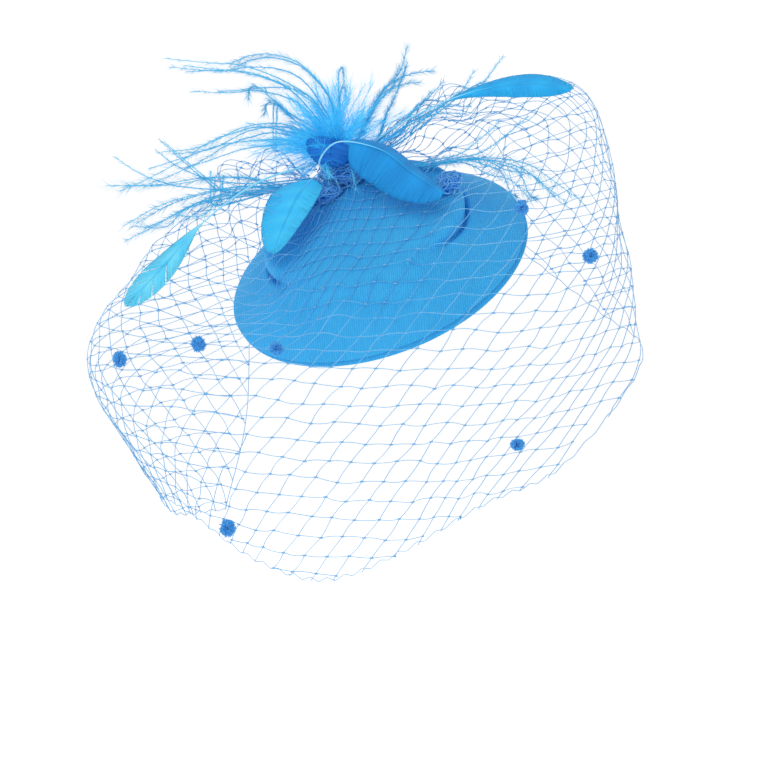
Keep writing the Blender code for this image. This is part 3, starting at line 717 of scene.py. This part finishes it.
lowest_row = int(np.floor((veil_grid[:, -1, 2] - row_shift).min() / CELL_RISE)) - SPARE_ROWS
highest_row = int(np.ceil((free_height - row_shift).max() / CELL_RISE)) + SPARE_ROWS
rows = highest_row - lowest_row
first_column = int(-CELL_LEAN * highest_row / CELL_ALONG) - 2
columns = int((strip_length[-1] - CELL_LEAN * lowest_row) / CELL_ALONG) + 3 - first_column
row_number = lowest_row + np.arange(rows)[:, None]
column_number = first_column + np.arange(columns)
jitter = KNOT_JITTER * chance.uniform(-1, 1, (2, rows, columns))
cross_height = CELL_RISE * row_number + jitter[0]
cross_along = CELL_ALONG * column_number + CELL_LEAN * row_number + jitter[1]
cross_down, cross_depth = strip_place(cross_along, cross_height)[1:]
inside = (cross_along > -1) & (cross_along < strip_length[-1] + 1)
inside &= (cross_down <= 1.0) & (cross_depth > FIRST_DEPTH)
print("net crossings", int(inside.sum()), "rows", rows, "columns", columns)


# %% Net threads
def on_hat(points):
    """1 where points lie on the hat, falling to 0 at HAT_SHADE_RANGE above it or past its rim."""
    local = points @ HAT_AXES.T
    above = local[..., 2] - base_height(local[..., 0], local[..., 1])
    past = np.hypot(local[..., 0], local[..., 1]) - RIM_RADIUS
    return np.clip(1 - np.maximum(np.abs(above), 2 * past) / HAT_SHADE_RANGE, 0, 1)


def threads(first, second):
    """Strands between two arrays of (row, column): straight in the strip, with a small random sideways bow.

    Their tone is painted darker where they lie on the hat, in place of the blue cloth seen through thin
    thread.
    """
    share = np.linspace(0, 1, THREAD_STEPS)
    bow = chance.uniform(-1, 1, (2, len(first[0]), 1)) * np.sin(math.pi * share)
    start = np.stack([cross_along[first], cross_height[first]])[..., None]
    end = np.stack([cross_along[second], cross_height[second]])[..., None]
    along, height = start * (1 - share) + end * share + THREAD_BOW * bow
    points = net_points(along, height)
    # painted: the tone drops over the hat, standing in for the blue cloth seen through thin thread
    tone = chance.uniform(0.35, 0.85, (len(along), 1)) * (1 - 0.8 * on_hat(points))
    return swept(points, THREAD_RADIUS, sides=4, facing=THREAD_FACING, tone=tone)


def linked(row_step, column_step):
    """Pairs of crossings one step apart whose ends are both inside the net."""
    ahead = np.zeros_like(inside)
    ahead[:rows - row_step, :columns - column_step] = inside[row_step:, column_step:]
    here = np.nonzero(inside & ahead)
    return here, (here[0] + row_step, here[1] + column_step)


def loose_ends():
    """Strands that carry each column on from its lowest crossing, straight, until the strip's cut edge."""
    used = np.nonzero(inside.any(axis=0))[0]
    lowest = np.argmax(inside, axis=0)[used]
    steps = np.linspace(0, LOOSE_REACH, 25)
    along = cross_along[lowest, used][:, None] - CELL_LEAN * steps
    height = cross_height[lowest, used][:, None] - CELL_RISE * steps
    down = strip_place(along, height)[1]
    within = (down < 1) & (along > 0) & (along < strip_length[-1])
    reach = np.where(within.all(axis=1), 0.0, steps[np.argmax(~within, axis=1)])
    share = np.linspace(0, 1, THREAD_STEPS)[None, :]
    along = cross_along[lowest, used][:, None] - CELL_LEAN * reach[:, None] * share
    height = cross_height[lowest, used][:, None] - CELL_RISE * reach[:, None] * share
    keep = reach > LOOSE_END
    points = net_points(along[keep], height[keep])
    return swept(points, THREAD_RADIUS, sides=4, facing=THREAD_FACING, tone=0.5)


def edge_threads():
    """Three long strands: one along the cut edge, in a small zigzag, and one down each end of the strip."""
    share = np.linspace(0, 1, EDGE_THREAD_STEPS)
    zigzag = ZIGZAG * np.abs(np.mod(share * strip_length[-1] / CELL_ALONG, 1) * 2 - 1)
    hem = (share, 1 - zigzag)
    fall = STRIP_END_FROM + (1 - STRIP_END_FROM) * share
    ends = [(np.full_like(share, side), fall) for side in (0.0, 1.0)]
    paths = [lay_over_hat(veil_surface(around, down), NET_LIFT) for around, down in (hem, *ends)]
    return swept(np.stack(paths), THREAD_RADIUS, sides=4, facing=THREAD_FACING, tone=0.4)


def crossings():
    """Small five-sided lumps: a short fat strand at each crossing, along the strip."""
    along, height = cross_along[inside][:, None], cross_height[inside][:, None]
    shift = np.linspace(-CROSSING_HALF, CROSSING_HALF, len(CROSSING_SWELL))
    points = net_points(along + shift, height + 0 * shift)
    return swept(points, CROSSING_RADIUS * CROSSING_SWELL, sides=5, facing=THREAD_FACING, tone=0.35)


net_parts = [threads(*linked(0, 1)), threads(*linked(1, 0)), loose_ends(), edge_threads(), crossings()]
net_shape = joined(net_parts)


# %% Thread finish
def thread_finish(name, dark, light, roughness):
    """Twisted thread: two blues by the strand's own tone, with a fine bump."""
    made = principled(name, light, roughness, Sheen_Weight=0.04)
    tree = made.node_tree
    grain = noise_node(tree, object_place(tree), 1500.0)
    factor = math_node(tree, "ADD", strand_tone(tree), math_node(tree, "MULTIPLY", grain, 0.2))
    colour = mix_colours(tree, factor, dark, light)
    tree.links.new(colour, tree.nodes["Principled BSDF"].inputs["Base Color"])
    add_bump(tree, grain, 0.05)
    return made


NET = thread_finish("netting", (0.035, 0.36, 0.78), (0.25, 0.56, 0.86), 0.5)
piece("veil_netting", net_shape, NET, ["veil_net"])

# %% [markdown]
# ## The gathered knot
#
# Where the strip is gathered its end is crumpled into a bun, with threads looping over each other. A lumpy
# heart in a darker blue keeps the bun closed; its dark colour is painted shade for the depths of the crumpled
# net. The loops are long strands that wander over an egg, each with its own sums of sines.


# %% Tangles of thread
def ball_point(turn, rise):
    """Point of the unit ball at a longitude and a latitude."""
    level = np.cos(rise)
    return np.stack([np.cos(turn) * level, np.sin(turn) * level, np.sin(rise) + 0 * turn], axis=-1)


def tangle(middle, radii, strands, seed, turns=1.6, stations=56, radius=0.3):
    """Strands that wander over an egg: two angles and a reach, each a sum of sines of the share along."""
    luck = np.random.default_rng(seed)
    share = np.linspace(0, 2 * math.pi * turns, stations)
    phase = luck.uniform(0, 2 * math.pi, (6, strands, 1))
    speed = luck.uniform(0.5, 1.6, (6, strands, 1))
    turn = phase[0] + speed[0] * share + 0.9 * np.sin(speed[1] * share * 1.3 + phase[1])
    rise = 1.25 * np.sin(speed[2] * share * 0.8 + phase[2]) + 0.3 * np.sin(speed[3] * share * 2 + phase[3])
    reach = 0.84 + 0.16 * np.sin(speed[4] * share * 1.7 + phase[4])
    reach = reach + 0.1 * np.sin(speed[5] * share * 3 + phase[5])
    paths = middle + (ball_point(turn, rise) * reach[..., None] * radii) @ HAT_AXES
    return swept(paths, radius, sides=4, facing=THREAD_FACING, tone=luck.uniform(0, 0.8, (strands, 1)))


def lumpy_ball(middle, radii, lumps, seed=0, rings=26, around=40):
    """Closed egg whose radius swells with products of sines of its two angles."""
    rise = np.linspace(-math.pi / 2 + 0.03, math.pi / 2 - 0.03, rings)[:, None]
    turn = np.linspace(0, 2 * math.pi, around, endpoint=False)[None, :]
    swell = 1 + lumps * np.sin(5 * turn + seed) * np.sin(4 * rise + 2 * seed) * np.cos(rise)
    swell = swell + 0.5 * lumps * np.sin(9 * turn - seed) * np.cos(7 * rise)
    return ring_grid(middle + (ball_point(turn, rise) * swell[..., None] * radii) @ HAT_AXES)


# %% Knot
KNOT_PUFFS = (
    dict(shift=(0, -3, 0), radii=(13.5, 12.0, 8.0), strands=44),
    dict(shift=(-13, -13, -3), radii=(9, 8, 4.5), strands=26),
    dict(shift=(19, -19, -1), radii=(9, 8, 4), strands=20),
    dict(shift=(48, -44, -6), radii=(7, 10, 2.8), strands=16),
)
TANGLE_SEED = 11
HEART_SHARE = 0.72
HEART_LUMPS = 0.16
# painted shade: the heart's deep blue stands in for the shadow inside the crumpled net
KNOT_SHADE_CORE = thread_finish("knot_shade_core", (0.001, 0.10, 0.56), (0.006, 0.22, 0.85), 0.7)
KNOT_THREAD = thread_finish("knot_thread", (0.006, 0.26, 0.85), (0.20, 0.62, 1.0), 0.45)

loops = []
hearts = []
for number, row in enumerate(KNOT_PUFFS):
    middle = KNOT + np.array(row["shift"]) @ HAT_AXES
    radii = np.array(row["radii"], dtype=float)
    loops.append(tangle(middle, radii, row["strands"], TANGLE_SEED + number))
    hearts.append(lumpy_ball(middle, radii * HEART_SHARE, HEART_LUMPS, number))
piece("knot_loops", joined(loops), KNOT_THREAD, ["veil_knot"])
piece("knot_shade_core", joined(hearts), KNOT_SHADE_CORE)

# %% [markdown]
# ## Chenille dots
#
# The dots are tufts of cut pile tied on to the net. A ball with a bump would look hard, so each is a
# bunch of short thick hairs from a small core, a little flattened and turned its own way.

# %% Dots
DOT_RADIUS = 4.3
PILE_COUNT = 460
DOT_SEED = 40
DOT_COUNT = 7
PILE_REACH = np.array([0.25, 0.55, 0.8, 1.0])
PILE_RADIUS = np.array([0.45, 0.46, 0.40, 0.18])


def golden_ways(count, span):
    """Directions spread by the golden turn, from +Z down to the height 1 - span; a span of 2 is all round."""
    number = np.arange(count) + 0.5
    level = 1 - span * number / count
    turn = number * math.pi * (3 - math.sqrt(5))
    flat = np.sqrt(1 - level ** 2)
    return np.stack([flat * np.cos(turn), flat * np.sin(turn), level], axis=-1)


def pile_ball(middle, seed):
    """Hairs of uneven length, spread over a ball and clumped by a few sines."""
    luck = np.random.default_rng(seed)
    ways = golden_ways(PILE_COUNT, 2)
    clump = np.sin(ways @ luck.normal(0, 3.2, (3, 3)) + luck.uniform(0, 6, 3))
    ways = unit(ways + 0.28 * clump + luck.normal(0, 0.1, ways.shape))
    length = DOT_RADIUS * (0.84 + 0.12 * clump[:, 0] + luck.uniform(-0.12, 0.18, PILE_COUNT))
    stretch = np.array([0.95, 0.85, 1.0]) + luck.uniform(-0.15, 0.15, 3)
    paths = middle + ways[:, None] * length[:, None, None] * PILE_REACH[None, :, None] * stretch
    # tone rises from root to tip: painted shade deep in the pile and painted light on the tips
    tone = luck.uniform(-0.2, 0.2, (PILE_COUNT, 1)) + np.linspace(0.0, 0.8, len(PILE_REACH))
    return swept(paths, PILE_RADIUS, sides=3, facing=(0.37, 0.61, 0.7), tone=tone)


CHENILLE = thread_finish("chenille", (0.006, 0.14, 0.62), (0.10, 0.50, 1.0), 0.9)
for number in range(1, DOT_COUNT + 1):
    low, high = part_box("veil_dot_%d" % number)
    middle = np.array((low + high) / 2) / MM
    tuft = pile_ball(middle, DOT_SEED + number)
    piece("dot_%d" % number, tuft, CHENILLE, ["veil_dot_%d" % number])

# %% [markdown]
# ## Feathers
#
# A feather is a quill with barbs on both sides. Drawing the vane as one smooth leaf loses the fine lines
# and splits that make it a feather, so each barb is its own thin strand. It leaves the quill at a slant,
# follows the cupped surface of the vane and ends on its outline, and neighbours lean together into locks
# with small gaps between.

# %% Feather table
FEATHERS = (
    dict(name="petal_feather_right", length=62.0, vane=23.5, vane_from=0.47, fullness=0.68, blunt=0.40,
         cup=-0.16, lobes=(0.40, 1.55), slant=0.12, splits=0, look="dark", facing=(-0.2, -0.8, 0.5),
         path=((-0.60, -0.65, -0.45), (-0.19, -0.31, 0.04), (-0.03, -0.40, 0.20), (0.32, -0.55, 0.13),
               (0.60, -0.77, -0.08), (0.85, -0.94, -0.25))),
    dict(name="petal_feather_left", length=62.0, vane=23.0, vane_from=0.24, fullness=0.55, blunt=0.50,
         cup=-0.16, lobes=(0.95, 1.60), slant=0.35, splits=0, look="bright", facing=(-0.4, -0.7, 0.6),
         path=((-0.80, -0.55, 0.15), (-0.32, -0.42, -0.18), (-0.46, -0.60, -0.44), (-0.57, -0.78, -0.74))),
    dict(name="petal_feather_back", length=24.0, vane=13.0, vane_from=0.10, fullness=0.80, blunt=0.40,
         cup=-0.35, lobes=(1.9, 2.3), slant=0.40, splits=4, look="deep", facing=(0.0, -0.8, 0.6),
         path=((0.00, -0.35, 0.95), (-0.13, -0.46, 0.58), (-0.21, -0.68, 0.32), (-0.25, -0.70, -0.02))),
    dict(name="paddle_feather_right", length=138.0, vane=15.5, vane_from=0.42, fullness=1.50, blunt=0.60,
         cup=-0.12, lobes=(0.95, 1.05), slant=0.62, splits=0, look="satin", facing=(-0.2, -0.8, 0.6),
         path=((0.7, 0.2, 0.7), (0.25, -0.08, 0.18), (0.47, -0.22, 0.27), (0.67, -0.32, 0.30),
               (0.86, -0.40, 0.28))),
    dict(name="paddle_feather_left", length=138.0, vane=13.5, vane_from=0.52, fullness=1.50, blunt=0.55,
         cup=-0.12, lobes=(1.25, 1.25), slant=1.9, splits=6, look="pale", facing=(-0.4, -0.8, 0.4),
         path=((-0.9, -0.2, 0.4), (-0.31, -0.20, -0.06), (-0.52, -0.34, -0.22), (-0.66, -0.42, -0.38),
               (-0.80, -0.47, -0.53))),
)
SPINE_STATIONS = 121
BARB_GAP = 0.34
BARB_STATIONS = 8
FEATHER_SEED = 60
BARB_HALF_DEPTH = 0.05
LOCK_LENGTH = 6.0


# %% Vane of barbs
def feather_spine(row):
    """Smooth line out of the knot and through the row's places, which are shares of the length."""
    first = np.array(row["path"][0])
    first = first / np.linalg.norm(first)
    stretched = HAT_AXES @ first / KNOT_SHARES
    root = KNOT + first * KNOT_RADIUS / np.linalg.norm(stretched)
    places = [root] + [KNOT + row["length"] * np.array(point) for point in row["path"][1:]]
    return curve_at(places, np.linspace(0, 1, SPINE_STATIONS))


def vane_half(row, share):
    """Half width of the vane: a sine of the eased share along it, to a power that is small for blunt ends."""
    vane = np.clip((share - row["vane_from"]) / (1 - row["vane_from"]), 0, 1)
    return row["vane"] / 2 * np.maximum(np.sin(math.pi * vane ** row["fullness"]), 0) ** row["blunt"]


def along_spine(values, share):
    """Reads an array of stations at shares of any shape."""
    marks = np.linspace(0, 1, SPINE_STATIONS)
    return np.stack([np.interp(share, marks, values[:, k]) for k in range(3)], axis=-1)


def feather_shape(row, seed):
    """Barbs of a feather, and its spine. A barb runs from share s to s + lean, out to the vane's edge."""
    luck = np.random.default_rng(seed)
    spine = feather_spine(row)
    length = np.linalg.norm(np.diff(spine, axis=0), axis=-1).sum()
    tangent = unit(np.gradient(spine, axis=0))
    side = unit(np.cross(tangent, row["facing"]))
    normal = np.cross(side, tangent)
    count = int(length * (1 - row["vane_from"]) / BARB_GAP)
    out = np.linspace(0, 1, BARB_STATIONS)
    shapes = []
    for hand, lobe in zip((-1, 1), row["lobes"]):
        start = np.linspace(row["vane_from"] - 0.02, 0.995, count)
        lock = np.round(start * length / LOCK_LENGTH + luck.uniform(-0.2, 0.2, count)) * LOCK_LENGTH / length
        vane = (start - row["vane_from"]) / (1 - row["vane_from"])
        slit = np.mod(vane * row["splits"] + 0.15 * np.sin(9 * vane) + 0.4 * hand, 1)
        split = (vane > 0.4) & (slit < 0.12) & (row["splits"] > 0)
        lean = row["slant"] * row["vane"] / 2 / length
        share = start[:, None] + lean * out ** 0.8
        share = share + (lock - start)[:, None] * 0.06 * out ** 4
        share = np.clip(share + luck.normal(0, 0.0012, (count, 1)) * out, 0, 1)
        reach = lobe * vane_half(row, share[:, -1:]) * (1 + luck.uniform(-0.02, 0.01, (count, 1)))
        reach = reach * np.where(split, 0.1, 1.0)[:, None]
        wide = hand * out * np.maximum(reach, 0.3)
        bow = row["cup"] * vane_half(row, share) * out ** 2
        bow = bow + 0.02 * luck.normal(0, 1, (count, 1)) * out
        paths = along_spine(spine, share) + along_spine(side, share) * wide[..., None]
        paths = paths + along_spine(normal, share) * bow[..., None]
        facing = along_spine(normal, share)
        tone = 0.5 + luck.normal(0, 0.07, (count, 1)) + 0.25 * np.sin(start * 40)[:, None] * (1 - out)
        shapes.append(swept(paths, 0.46 - 0.16 * out, BARB_HALF_DEPTH, facing, sides=4, tone=tone))
    return joined(shapes), spine


# %% Feather finishes
def feather_finish(name, dark, light, roughness=0.5, sheen=0.1, bump_mm=0.02, painted_glow=0.0):
    """Satin barbs: two blues by the strand's own tone, a soft sheen, and an optional painted glow."""
    # painted_glow is emission in the dark blue: painted light for light passing through thin barbs
    made = principled(name, light, roughness, Sheen_Weight=sheen, Sheen_Roughness=0.35, Sheen_Tint=SHEEN_BLUE,
                      Specular_IOR_Level=0.3, Emission_Strength=painted_glow, Emission_Color=(*dark, 1))
    tree = made.node_tree
    colour = mix_colours(tree, strand_tone(tree), dark, light)
    tree.links.new(colour, tree.nodes["Principled BSDF"].inputs["Base Color"])
    add_bump(tree, noise_node(tree, object_place(tree), 1200.0), bump_mm)
    return made


# One dyed blue: bright is painted light, dark painted shade, deep painted deep shade in the knot's hollow
VANES = {
    "bright": feather_finish("vane_painted_lit", (0.025, 0.50, 0.98), (0.06, 0.64, 1.0)),
    "pale": feather_finish("vane_pale", (0.04, 0.58, 0.98), (0.22, 0.80, 1.0)),
    "satin": feather_finish("vane_satin", (0.006, 0.34, 0.80), (0.02, 0.52, 1.0), sheen=0.0),
    "dark": feather_finish("vane_painted_shade", (0.001, 0.22, 0.62), (0.006, 0.38, 0.92), sheen=0.0),
    "deep": feather_finish("vane_painted_deep_shade", (0.001, 0.09, 0.48), (0.006, 0.28, 0.85), sheen=0.0),
}
QUILL = feather_finish("quill", (0.06, 0.58, 0.98), (0.30, 0.76, 0.98), 0.35)
QUILL_RADII = {"bright": 0.35, "pale": 0.6, "satin": 0.6, "dark": 0.6, "deep": 0.3}
for seed, row in enumerate(FEATHERS, start=FEATHER_SEED):
    shape, spine = feather_shape(row, seed)
    piece(row["name"] + "_vane", shape, VANES[row["look"]], [row["name"]])
    marks = np.linspace(0, 1, SPINE_STATIONS)
    taper = QUILL_RADII[row["look"]] * (1 - 0.75 * marks)
    bare = np.clip(1 - (marks - row["vane_from"]) / 0.2, 0, 1)
    quill = swept(spine[None], taper * (0.45 + 0.55 * bare), sides=8, facing=row["facing"], tone=bare)
    piece(row["name"] + "_quill", quill, QUILL)

# %% [markdown]
# ## Fronds
#
# The long strands round the knot are stripped feathers: a bare quill with short fine barbs that point to
# the tip. Each frond is a smooth line through a few places in millimetres from the knot's middle, with
# one depth at its tip. A second strand, a little shorter and aside, goes with each.

# %% Frond table
FROND_COLUMNS = ("tip_y", "fuzz", "path")
FROND_ROWS = (
    (-6, 3.2, ((-1, 18), (-8, 39), (-22, 54), (-37, 59), (-49, 58), (-58, 54))),
    (10, 2.6, ((-2, 18), (-17, 42), (-30, 51), (-48, 53), (-66, 51), (-91, 53))),
    (-18, 2.4, ((-5, 18), (-13, 33), (-23, 41), (-37, 48), (-53, 53), (-69, 54), (-92, 56))),
    (2, 2.2, ((-8, 20), (-24, 38), (-35, 45), (-48, 49), (-62, 51), (-82, 50))),
    (-14, 3.4, ((-6, 16), (-27, 28), (-35, 34), (-43, 41), (-48, 41), (-49, 35))),
    (-14, 1.2, ((-27, 27), (-35, 34), (-36, 25), (-36, 8))),
    (-30, 2.8, ((-8, 15), (-22, 20), (-35, 23), (-53, 20), (-73, 10), (-93, 7))),
    (-36, 1.6, ((-10, 8), (-30, 14), (-43, 14), (-63, 11), (-82, 4), (-100, -2))),
    (-22, 3.4, ((-8, 14), (-40, 21), (-56, 18), (-71, 12), (-82, 4), (-100, -6), (-115, -13))),
    (-46, 1.6, ((-12, -6), (-27, -8), (-58, -12), (-82, -11), (-92, -9), (-105, -4), (-117, 4))),
    (-40, 1.4, ((-12, -8), (-43, -14), (-62, -13), (-69, -9), (-82, 2), (-94, 13))),
    (-30, 1.2, ((-30, -10), (-55, -18), (-67, -20), (-68, -12), (-68, -3))),
    (-46, 4.2, ((-12, -7), (-30, -11), (-50, -6), (-71, -6), (-95, -10), (-121, -11))),
    (-62, 3.6, ((-12, -8), (-30, -11), (-56, -11), (-78, -16), (-95, -22), (-111, -32))),
    (-60, 3.0, ((-12, -9), (-43, -13), (-62, -16), (-78, -21), (-95, -31), (-111, -40))),
    (-50, 3.8, ((-12, -9), (-48, -15), (-66, -18), (-81, -23), (-91, -32), (-108, -32))),
    (12, 2.0, ((0, 20), (-2, 39), (-2, 50), (0, 52), (1, 44))),
    (18, 3.0, ((8, 16), (16, 30), (21, 41), (30, 51), (34, 65))),
    (6, 3.0, ((8, 16), (18, 36), (25, 44), (35, 49), (48, 51))),
    (0, 2.4, ((14, 12), (20, 18), (23, 28), (28, 39), (34, 55))),
    (12, 2.4, ((14, 10), (22, 17), (33, 26), (43, 35), (53, 46))),
    (-38, 2.2, ((14, 6), (30, 13), (51, 29), (68, 41), (74, 44), (83, 56))),
    (-20, 1.8, ((14, 8), (26, 17), (38, 25), (52, 31), (67, 31))),
    (-62, 3.4, ((14, -4), (41, -2), (56, 3), (72, 4), (85, 3), (98, -1), (109, -9), (122, -19))),
    (-65, 3.6, ((14, -5), (41, 0), (56, 2), (72, 3), (85, -3), (98, -6), (109, -17))),
    (-60, 2.8, ((14, -2), (67, 3), (82, 0), (91, -4), (96, -16), (99, -18))),
    (-41, 2.4, ((14, 0), (40, 1), (56, 4), (72, 7), (85, 16), (96, 25))),
)
FRONDS = [dict(zip(FROND_COLUMNS, row)) for row in FROND_ROWS]
ROOT_Y = 8.0
FROND_STATIONS = 48
FROND_RADIUS = 0.42
FROND_BARB_RADIUS = 0.11
FUZZ_SCALE = 1.4
FROND_DRIFT = 1.6


# %% Fronds
def barbs(spines, fuzz, luck, radius, per_station, slant=0.55, stations=3):
    """Fine barbs all round each spine, of length fuzz, slanting to the tip and turned at random."""
    spines = np.repeat(spines, per_station, axis=0)
    fuzz = np.repeat(np.broadcast_to(fuzz, (len(spines) // per_station,)), per_station)
    shift = luck.uniform(0, 1, (len(spines), spines.shape[1] - 1, 1))
    roots = spines[:, :-1] * (1 - shift) + spines[:, 1:] * shift
    tangent = unit(spines[:, 1:] - spines[:, :-1])
    ways = unit(np.cross(tangent, luck.normal(0, 1, roots.shape)))
    reach = fuzz[:, None] * luck.uniform(0.55, 1.1, roots.shape[:2])
    ways = unit(tangent * slant * 1.8 + ways)
    out = np.linspace(0, 1, stations)[:, None]
    paths = roots[..., None, :] + ways[..., None, :] * reach[..., None, None] * out
    paths = paths + (tangent * (reach * 0.25)[..., None])[..., None, :] * out ** 2
    tone = np.repeat(luck.uniform(0, 1, (len(spines), 1)), roots.shape[1], axis=1).reshape(-1, 1)
    taper = radius * (1 - 0.7 * out[:, 0])
    return swept(paths.reshape(-1, stations, 3), taper, sides=3, facing=(0.31, -0.6, 0.74), tone=tone)


def frond_spine(row):
    """Smooth line through the row's places, its depth going straight from the root's to the tip's."""
    flat = np.array(row["path"], dtype=float)
    run = np.concatenate([[0], np.cumsum(np.linalg.norm(np.diff(flat, axis=0), axis=1))])
    depth = ROOT_Y + (row["tip_y"] - ROOT_Y) * run / run[-1]
    places = KNOT + np.stack([flat[:, 0], depth, flat[:, 1]], axis=-1)
    return curve_at(places, np.linspace(0, 1, FROND_STATIONS))


luck = np.random.default_rng(23)
frond_spines = np.stack([frond_spine(row) for row in FRONDS])
frond_fuzz = FUZZ_SCALE * np.array([row["fuzz"] for row in FRONDS] * 2)
frond_share = np.linspace(0, 1, FROND_STATIONS)
aside = luck.normal(0, FROND_DRIFT, (len(FRONDS), 1, 3)) * frond_share[:, None] ** 1.5
shorter = KNOT + (frond_spines - KNOT) * luck.uniform(0.80, 0.97, (len(FRONDS), 1, 1)) + aside
frond_spines = np.concatenate([frond_spines, shorter])
frond_taper = FROND_RADIUS * (1 - 0.6 * frond_share)
frond_tone = luck.uniform(0.2, 0.9, (2 * len(FRONDS), 1))
# the fronds get a faint painted glow, standing in for light passing through their barbs
FROND = feather_finish("frond", (0.03, 0.44, 0.80), (0.16, 0.68, 0.92), 0.5, bump_mm=0.01, painted_glow=0.10)
frond_shape = joined([swept(frond_spines, frond_taper, sides=5, tone=frond_tone),
                      barbs(frond_spines, frond_fuzz, luck, FROND_BARB_RADIUS, per_station=4)])
piece("fronds", frond_shape, FROND, ["feather_spray"])

# %% [markdown]
# ## Down
#
# Behind the knot sits a puff of down. It is a bunch of small plumes that spread like a fan, each a thin
# quill with long soft barbs, so that its edge breaks up into wisps.

# %% Down puff
PUFF_PLUMES = 160
PLUME_STATIONS = 22
PLUME_LENGTHS = (22, 45)
PLUME_RADIUS = 0.16
DOWN_BARB_LENGTHS = (5, 10)
DOWN_BARB_RADIUS = 0.085
PUFF_AHEAD = 12.0
PUFF_SHIFT = np.array([-1.0, 0.0, -2.0])
PUFF_LEAN = np.array([-0.15, 0.0, 0.1])
puff_way = np.array([-0.25, 0.58, 0.78])
puff_way = puff_way / np.linalg.norm(puff_way)
PUFF = KNOT + puff_way * PUFF_AHEAD + PUFF_SHIFT


def plume_spines(luck):
    """Bent lines from the puff's middle, spread over three quarters of a ball and drawn to the puff's way."""
    ways = golden_ways(PUFF_PLUMES, 1.5)
    ways = unit(ways + 0.35 * puff_way + PUFF_LEAN + luck.normal(0, 0.12, ways.shape))
    length = luck.uniform(*PLUME_LENGTHS, (PUFF_PLUMES, 1))
    out = np.linspace(0.05, 1, PLUME_STATIONS)[:, None]
    bend = luck.normal(0, 0.16, ways.shape)
    paths = PUFF + (ways * length)[:, None] * out + (bend * length)[:, None] * out ** 2
    paths[..., 2] -= 0.12 * length * out[:, 0] ** 2
    return paths


luck = np.random.default_rng(31)
plumes = plume_spines(luck)
# the down gets a stronger painted glow, standing in for light passing through the puff
DOWN = feather_finish("down", (0.02, 0.48, 0.92), (0.22, 0.82, 0.96), 0.6, sheen=0.0, bump_mm=0.0, painted_glow=0.28)
down_fuzz = luck.uniform(*DOWN_BARB_LENGTHS, PUFF_PLUMES)
down_shape = joined([swept(plumes, PLUME_RADIUS, sides=3, tone=0.5),
                     barbs(plumes, down_fuzz, luck, DOWN_BARB_RADIUS, per_station=3, slant=0.9)])
piece("down_puff", down_shape, DOWN)


# %% [markdown]
# ## Hair clip
#
# The clip is hidden under the crown. Its solid is already the right shape, so it keeps it and gets
# brushed steel.

# %% Steel
def brushed_steel():
    """Bright metal with streaks: a noise stretched along the clip drives roughness and a little bump."""
    made = principled("brushed_steel", (0.62, 0.63, 0.65), 0.3, Metallic=1.0)
    tree = made.node_tree
    stretch = tree.nodes.new("ShaderNodeMapping")
    stretch.inputs["Scale"].default_value = (60, 3000, 3000)
    tree.links.new(object_place(tree), stretch.inputs["Vector"])
    streak = noise_node(tree, stretch.outputs["Vector"], 1.0)
    rough = math_node(tree, "ADD", math_node(tree, "MULTIPLY", streak, 0.25), 0.2)
    tree.links.new(rough, tree.nodes["Principled BSDF"].inputs["Roughness"])
    add_bump(tree, streak, 0.02)
    return made


clip = nodes["hair_clip"]
clip.data.materials.clear()
clip.data.materials.append(brushed_steel())
